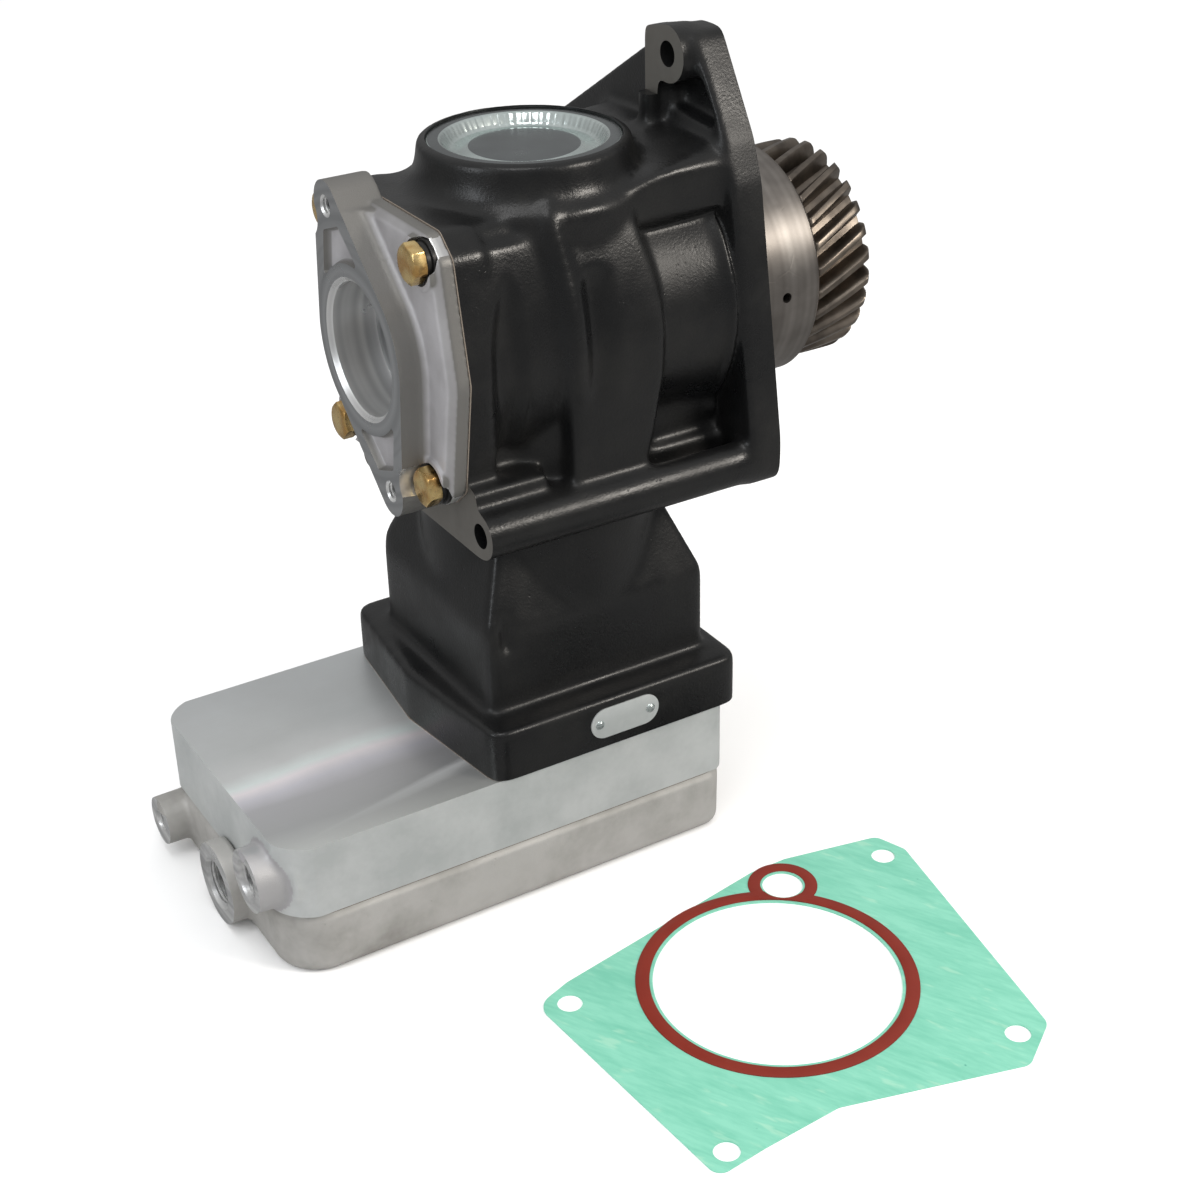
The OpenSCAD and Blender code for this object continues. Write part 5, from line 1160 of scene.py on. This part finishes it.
def head_outline(inset=0):
    near, far = HEAD_NEAR + inset, HEAD_FAR - inset
    corners = [(HEAD_BACK - inset, near), (HEAD_BACK - inset, far), (HEAD_FRONT + inset, far),
               (HEAD_FRONT + inset, near)]
    return rounded(corners, [12 - inset, 12 - inset, 22 - inset, 24 - inset], 12)


def boss(radius, start, end, centre, foot=1.0):
    """A port boss along X with a broken edge at its face, swelling to its foot."""
    outline = [(0, start), (radius - 0.7, start), (radius, start + 0.8), (radius * foot, end), (0, end)]
    return lathe("boss", outline, (0, *centre), segments=96)


SUCTION = (-52, -232.4)
DELIVERY = (-6, -263.0)
UNLOADER = (65, -265.5)
plate = loft("valve_plate_milled", head_outline(), [(1.5, PLATE_LOW - 3), (1.5, PLATE_TOP + 3)], "Z")
combine(plate, [block((-300, -200, -300), (HEAD_FRONT, 200, 0))], "DIFFERENCE")
combine(plate, [boss(16.4, -294, -262, SUCTION, 1.06), boss(19, -276, -246, (-55.5, -230.4), 0.86)], "UNION")
recast(plate, 1.2, 9, 70000)
trims = [block((-400, -200, PLATE_TOP), (200, 200, 0)), block((-400, -200, -400), (200, 200, PLATE_LOW)),
         block((-400, -200, -400), (200, HEAD_NEAR, 0)), block((-400, HEAD_FAR, -400), (200, 200, 0)),
         block((HEAD_BACK, -200, -400), (200, 200, 0)), block((-400, -200, -400), (BOSS_FACE, 200, 0))]
combine(plate, trims, "DIFFERENCE")
ports = hollows_of("valve_plate", (-268, -73, PLATE_LOW - 1), (-32, 77, PLATE_TOP + 1))
combine(plate, [ports, hole_cutter(9.25, BOSS_FACE, 28, SUCTION, 1.7)], "DIFFERENCE")
tidy_mesh(plate, 2e-6)
centres, normals = face_data(plate)
boss_zone = (centres[:, 0] < -262) & (centres[:, 1] < -30) & (normals[:, 2] < 0.98) & (centres[:, 2] < -209)
boss_zone &= (centres[:, 0] < HEAD_FRONT - 0.4) | (reach(centres, *SUCTION) < 19)
port_zone = (reach(centres, *SUCTION) < 10.96) & (centres[:, 0] < -262)
sides = normals[:, 2] < 0.5
paint_faces(plate, [MILLED, PLATE_SIDE, BOSS, BORED],
            np.where(port_zone, 3, np.where(boss_zone, 2, np.where(sides, 1, 0))))
join_meshes(plate, thread(9.0, 1.5, -290, 24, SUCTION, BORED))
dress(plate, 34, "housing", "milled_alloy", "valve_plate")

cast_cover = loft("head_cover_casting", head_outline(), [
    (-5.0, BASE_Z), (-3.0, BASE_Z + 0.5), (-1.4, BASE_Z + 1.7), (-0.4, BASE_Z + 3.4), (0, BASE_Z + 5.5),
    (0.3, COVER_TOP - 2.8), (-2.0, COVER_TOP - 0.8), (-2.0, COVER_TOP + 3)], "Z")
combine(cast_cover, [boss(21.9, -294, -276, DELIVERY), boss(13.2, -297, -250, UNLOADER, 1.04)], "UNION")
recast(cast_cover, 1.3, 8, 80000)
trims = [block((HEAD_FRONT - 1, -200, COVER_TOP), (200, 200, -200)),
         block((-400, -200, -400), (200, 200, BASE_Z)),
         block((-400, -200, -400), (-295, 200, 0)), block((-400, -35, -400), (BOSS_FACE, 30, 0))]
combine(cast_cover, trims, "DIFFERENCE")
chambers = hollows_of("head_cover", (-272, -70, BASE_Z + 3), (-34, 74, COVER_TOP + 2))
head_pockets = rods(9.5, BASE_Z - 2, BASE_Z + 14, HEAD_BOLTS, "Z", 64)
mouths = [hole_cutter(12.25, BOSS_FACE, 37, DELIVERY, 1.9), hole_cutter(5.25, -295, 35, UNLOADER, 1.2)]
combine(cast_cover, [chambers] + head_pockets + mouths, "DIFFERENCE")
tidy_mesh(cast_cover, 2e-6)
centres, normals = face_data(cast_cover)
ported = (reach(centres, *DELIVERY) < 14.16) & (centres[:, 0] < -255)
ported |= (reach(centres, *UNLOADER) < 6.46) & (centres[:, 0] < -260)
ported |= (np.abs(centres[:, 0] - BOSS_FACE) < 0.05) & (normals[:, 0] < -0.98)
paint_faces(cast_cover, [ROUGH, BORED], np.where(ported, 1, 0))
head_threads = [thread(12.0, 1.5, -290, 30, DELIVERY, BORED), thread(5.1, 1.25, -294, 20, UNLOADER, BORED)]
join_meshes(cast_cover, *head_threads)
dress(cast_cover, 38, "housing", "cast_alloy", "head_cover")

# %% [markdown]
# ## The nameplate, bare
# A thin plate with round ends and two domed drive rivets.

# %% Nameplate
label = rounded([(-113, -202), (-73, -202), (-73, -185), (-113, -185)], [8.45] * 4, 12)
nameplate = loft("nameplate_bare", label, [(-0.3, -79.8), (0, -79.65), (0, -79)], "Z")
nameplate.data.transform(Matrix(((1, 0, 0, 0), (0, 0, 1, 0), (0, 1, 0, 0), (0, 0, 0, 1))))
tidy_mesh(nameplate)
coat(nameplate, PLATE_SIDE)
dress(nameplate, 30, "housing", "zinc_plate", "nameplate")
rivet = lathe("nameplate_rivets_domed", [
    (0, -81.3), (0.9, -81.2), (1.7, -80.85), (2.3, -80.35), (2.6, -79.75), (1.35, -79.75), (1.35, -75),
    (0, -75)], (-93, 0, -193.5), "Y", 48)
grow(rivet, CORNERS, ZINC, Count=2, Along=15 * MM, Across=0.0, Up=0.0)
dress(rivet, 40, "housing", "zinc_plate", "nameplate_rivets")

# %% [markdown]
# ## The mounting gasket on the floor
# The green sheet has the flange's outline and holes; a red bead of silicone runs round the spigot
# hole and the oil passage. Its edges are cut clean, so only a hair of bevel catches the light.

# %% Mounting gasket
GASKET_PLACE = Matrix.Translation((-82.8 * MM, -199.5 * MM, BASE_Z * MM)) @ Matrix.Rotation(
    math.radians(-70.6), 4, "Z")
FLANGE = [(-25, 128), (-52.5, 82), (-59.5, 62), (-79.5, -64), (-79.5, -86), (54.5, -122.4), (60.5, -96),
          (72, -55), (126, 22), (118.5, 52), (-7, 128)]
FLANGE_RADII = [6, 8, 8, 0, 10.98, 6, 6, 8, 7.5, 7.5, 6]


def ring(inner, outer, low, high, centre):
    """A flat ring whose top is crowned by a hair and whose edges are rounded."""
    outline = [(inner, low), (inner + 0.1, high - 0.3), (inner + 0.6, high - 0.05),
               ((inner + outer) / 2, high), (outer - 0.6, high - 0.05), (outer - 0.1, high - 0.3),
               (outer, low)]
    return lathe("ring", outline, (*centre, 0), "Z", 192)


sheet = loft("mounting_gasket_sheet", rounded(FLANGE, FLANGE_RADII, 10),
             [(-0.12, 0), (0, 0.12), (0, 0.68), (-0.12, 0.8)], "Z")
punches = [rod(60.5, -1, 2, (0, 0), "Z", 192), rod(10.5, -1, 2, OIL_HOLE, "Z", 96)]
punches += rods(6.2, -1, 2, BOLT_HOLES + [TUBE], "Z", 64)
combine(sheet, punches, "DIFFERENCE")
bead = ring(62, 69, 0.6, 1.5, (0, 0))
combine(bead, [ring(11.5, 18, 0.6, 1.5, OIL_HOLE)], "UNION")
combine(bead, [rod(62, 0, 3, (0, 0), "Z", 192), rod(11.5, 0, 3, OIL_HOLE, "Z", 96)], "DIFFERENCE")
for obj, material, slot, node in ((sheet, MINT, "mint_fibre", "mounting_gasket"),
                                  (bead, SILICONE, "red_silicone", "gasket_bead")):
    obj.data.transform(GASKET_PLACE)
    tidy_mesh(obj)
    coat(obj, material)
    obj.visible_glossy = False
    dress(obj, 30, "housing", slot, node)
bead.name = "gasket_bead_silicone"

# %% [markdown]
# ## Light
# A white floor and a white studio, as in a catalogue picture. Gloss and metal need something darker
# to mirror, so mirror rays see a grey room with a few bright panels, which the lamps supply.

# %% Light and floor
bpy.context.scene.view_settings.view_transform = "Standard"
world = bpy.data.worlds.new("studio")
bpy.context.scene.world = world
world.use_nodes = True
w = Tree(world.node_tree)
backdrop = world.node_tree.nodes["Background"]
backdrop.inputs["Color"].default_value = (1, 1, 1, 1)
backdrop.inputs["Strength"].default_value = 1.0
height = w.split(w.add("ShaderNodeTexCoord").outputs["Generated"])[2]
room = w.add("ShaderNodeBackground", in_Color=(1, 1, 1, 1),
             in_Strength=w.remap(height, -0.1, 0.9, 0.17, 0.62))
path = w.add("ShaderNodeLightPath").outputs
mirror = w.add("ShaderNodeMixShader", in_0=path["Is Glossy Ray"], in_1=backdrop.outputs[0],
               in_2=room.outputs[0])
seen = w.add("ShaderNodeMixShader", in_0=path["Is Camera Ray"], in_1=mirror.outputs[0],
             in_2=backdrop.outputs[0])
w.put(seen.outputs[0], world.node_tree.nodes["World Output"].inputs["Surface"])


CENTRE = Vector((-0.09, -0.03, -0.05))


def lamp(name, place, size, power, colour=(1, 1, 1)):
    """A rectangular lamp that faces the compressor."""
    light = bpy.data.lights.new(name, "AREA")
    light.shape = "RECTANGLE"
    light.size, light.size_y = size
    light.energy = power
    light.color = colour
    obj = add_object(name, light)
    obj.location = place
    obj.rotation_euler = (CENTRE - Vector(place)).to_track_quat("-Z", "Y").to_euler()


lamp("key", (0.58, -1.0, 0.68), (0.30, 0.30), 8.5, (1.0, 0.94, 0.86))
lamp("top", (-0.45, -0.35, 1.25), (0.5, 0.5), 3.0)
lamp("left", (-1.25, -0.1, 0.55), (0.3, 0.7), 3.0, (0.92, 0.96, 1.0))

floor_z = cad_box[0].z
floor = mesh_object("floor", [(-4, -4, floor_z), (4, -4, floor_z), (4, 4, floor_z), (-4, 4, floor_z)],
                    [(0, 1, 2, 3)])
t = Finish("floor", Roughness=0.9, Specular_IOR_Level=0.1)
mirrored = t.add("ShaderNodeLightPath").outputs["Is Glossy Ray"]
t.put(t.blend(mirrored, (0.98, 0.98, 0.98), (0.27, 0.27, 0.27)), t.shader.inputs["Base Color"])
floor.data.materials.append(t.material)
print("lamps:", len(bpy.data.lights))
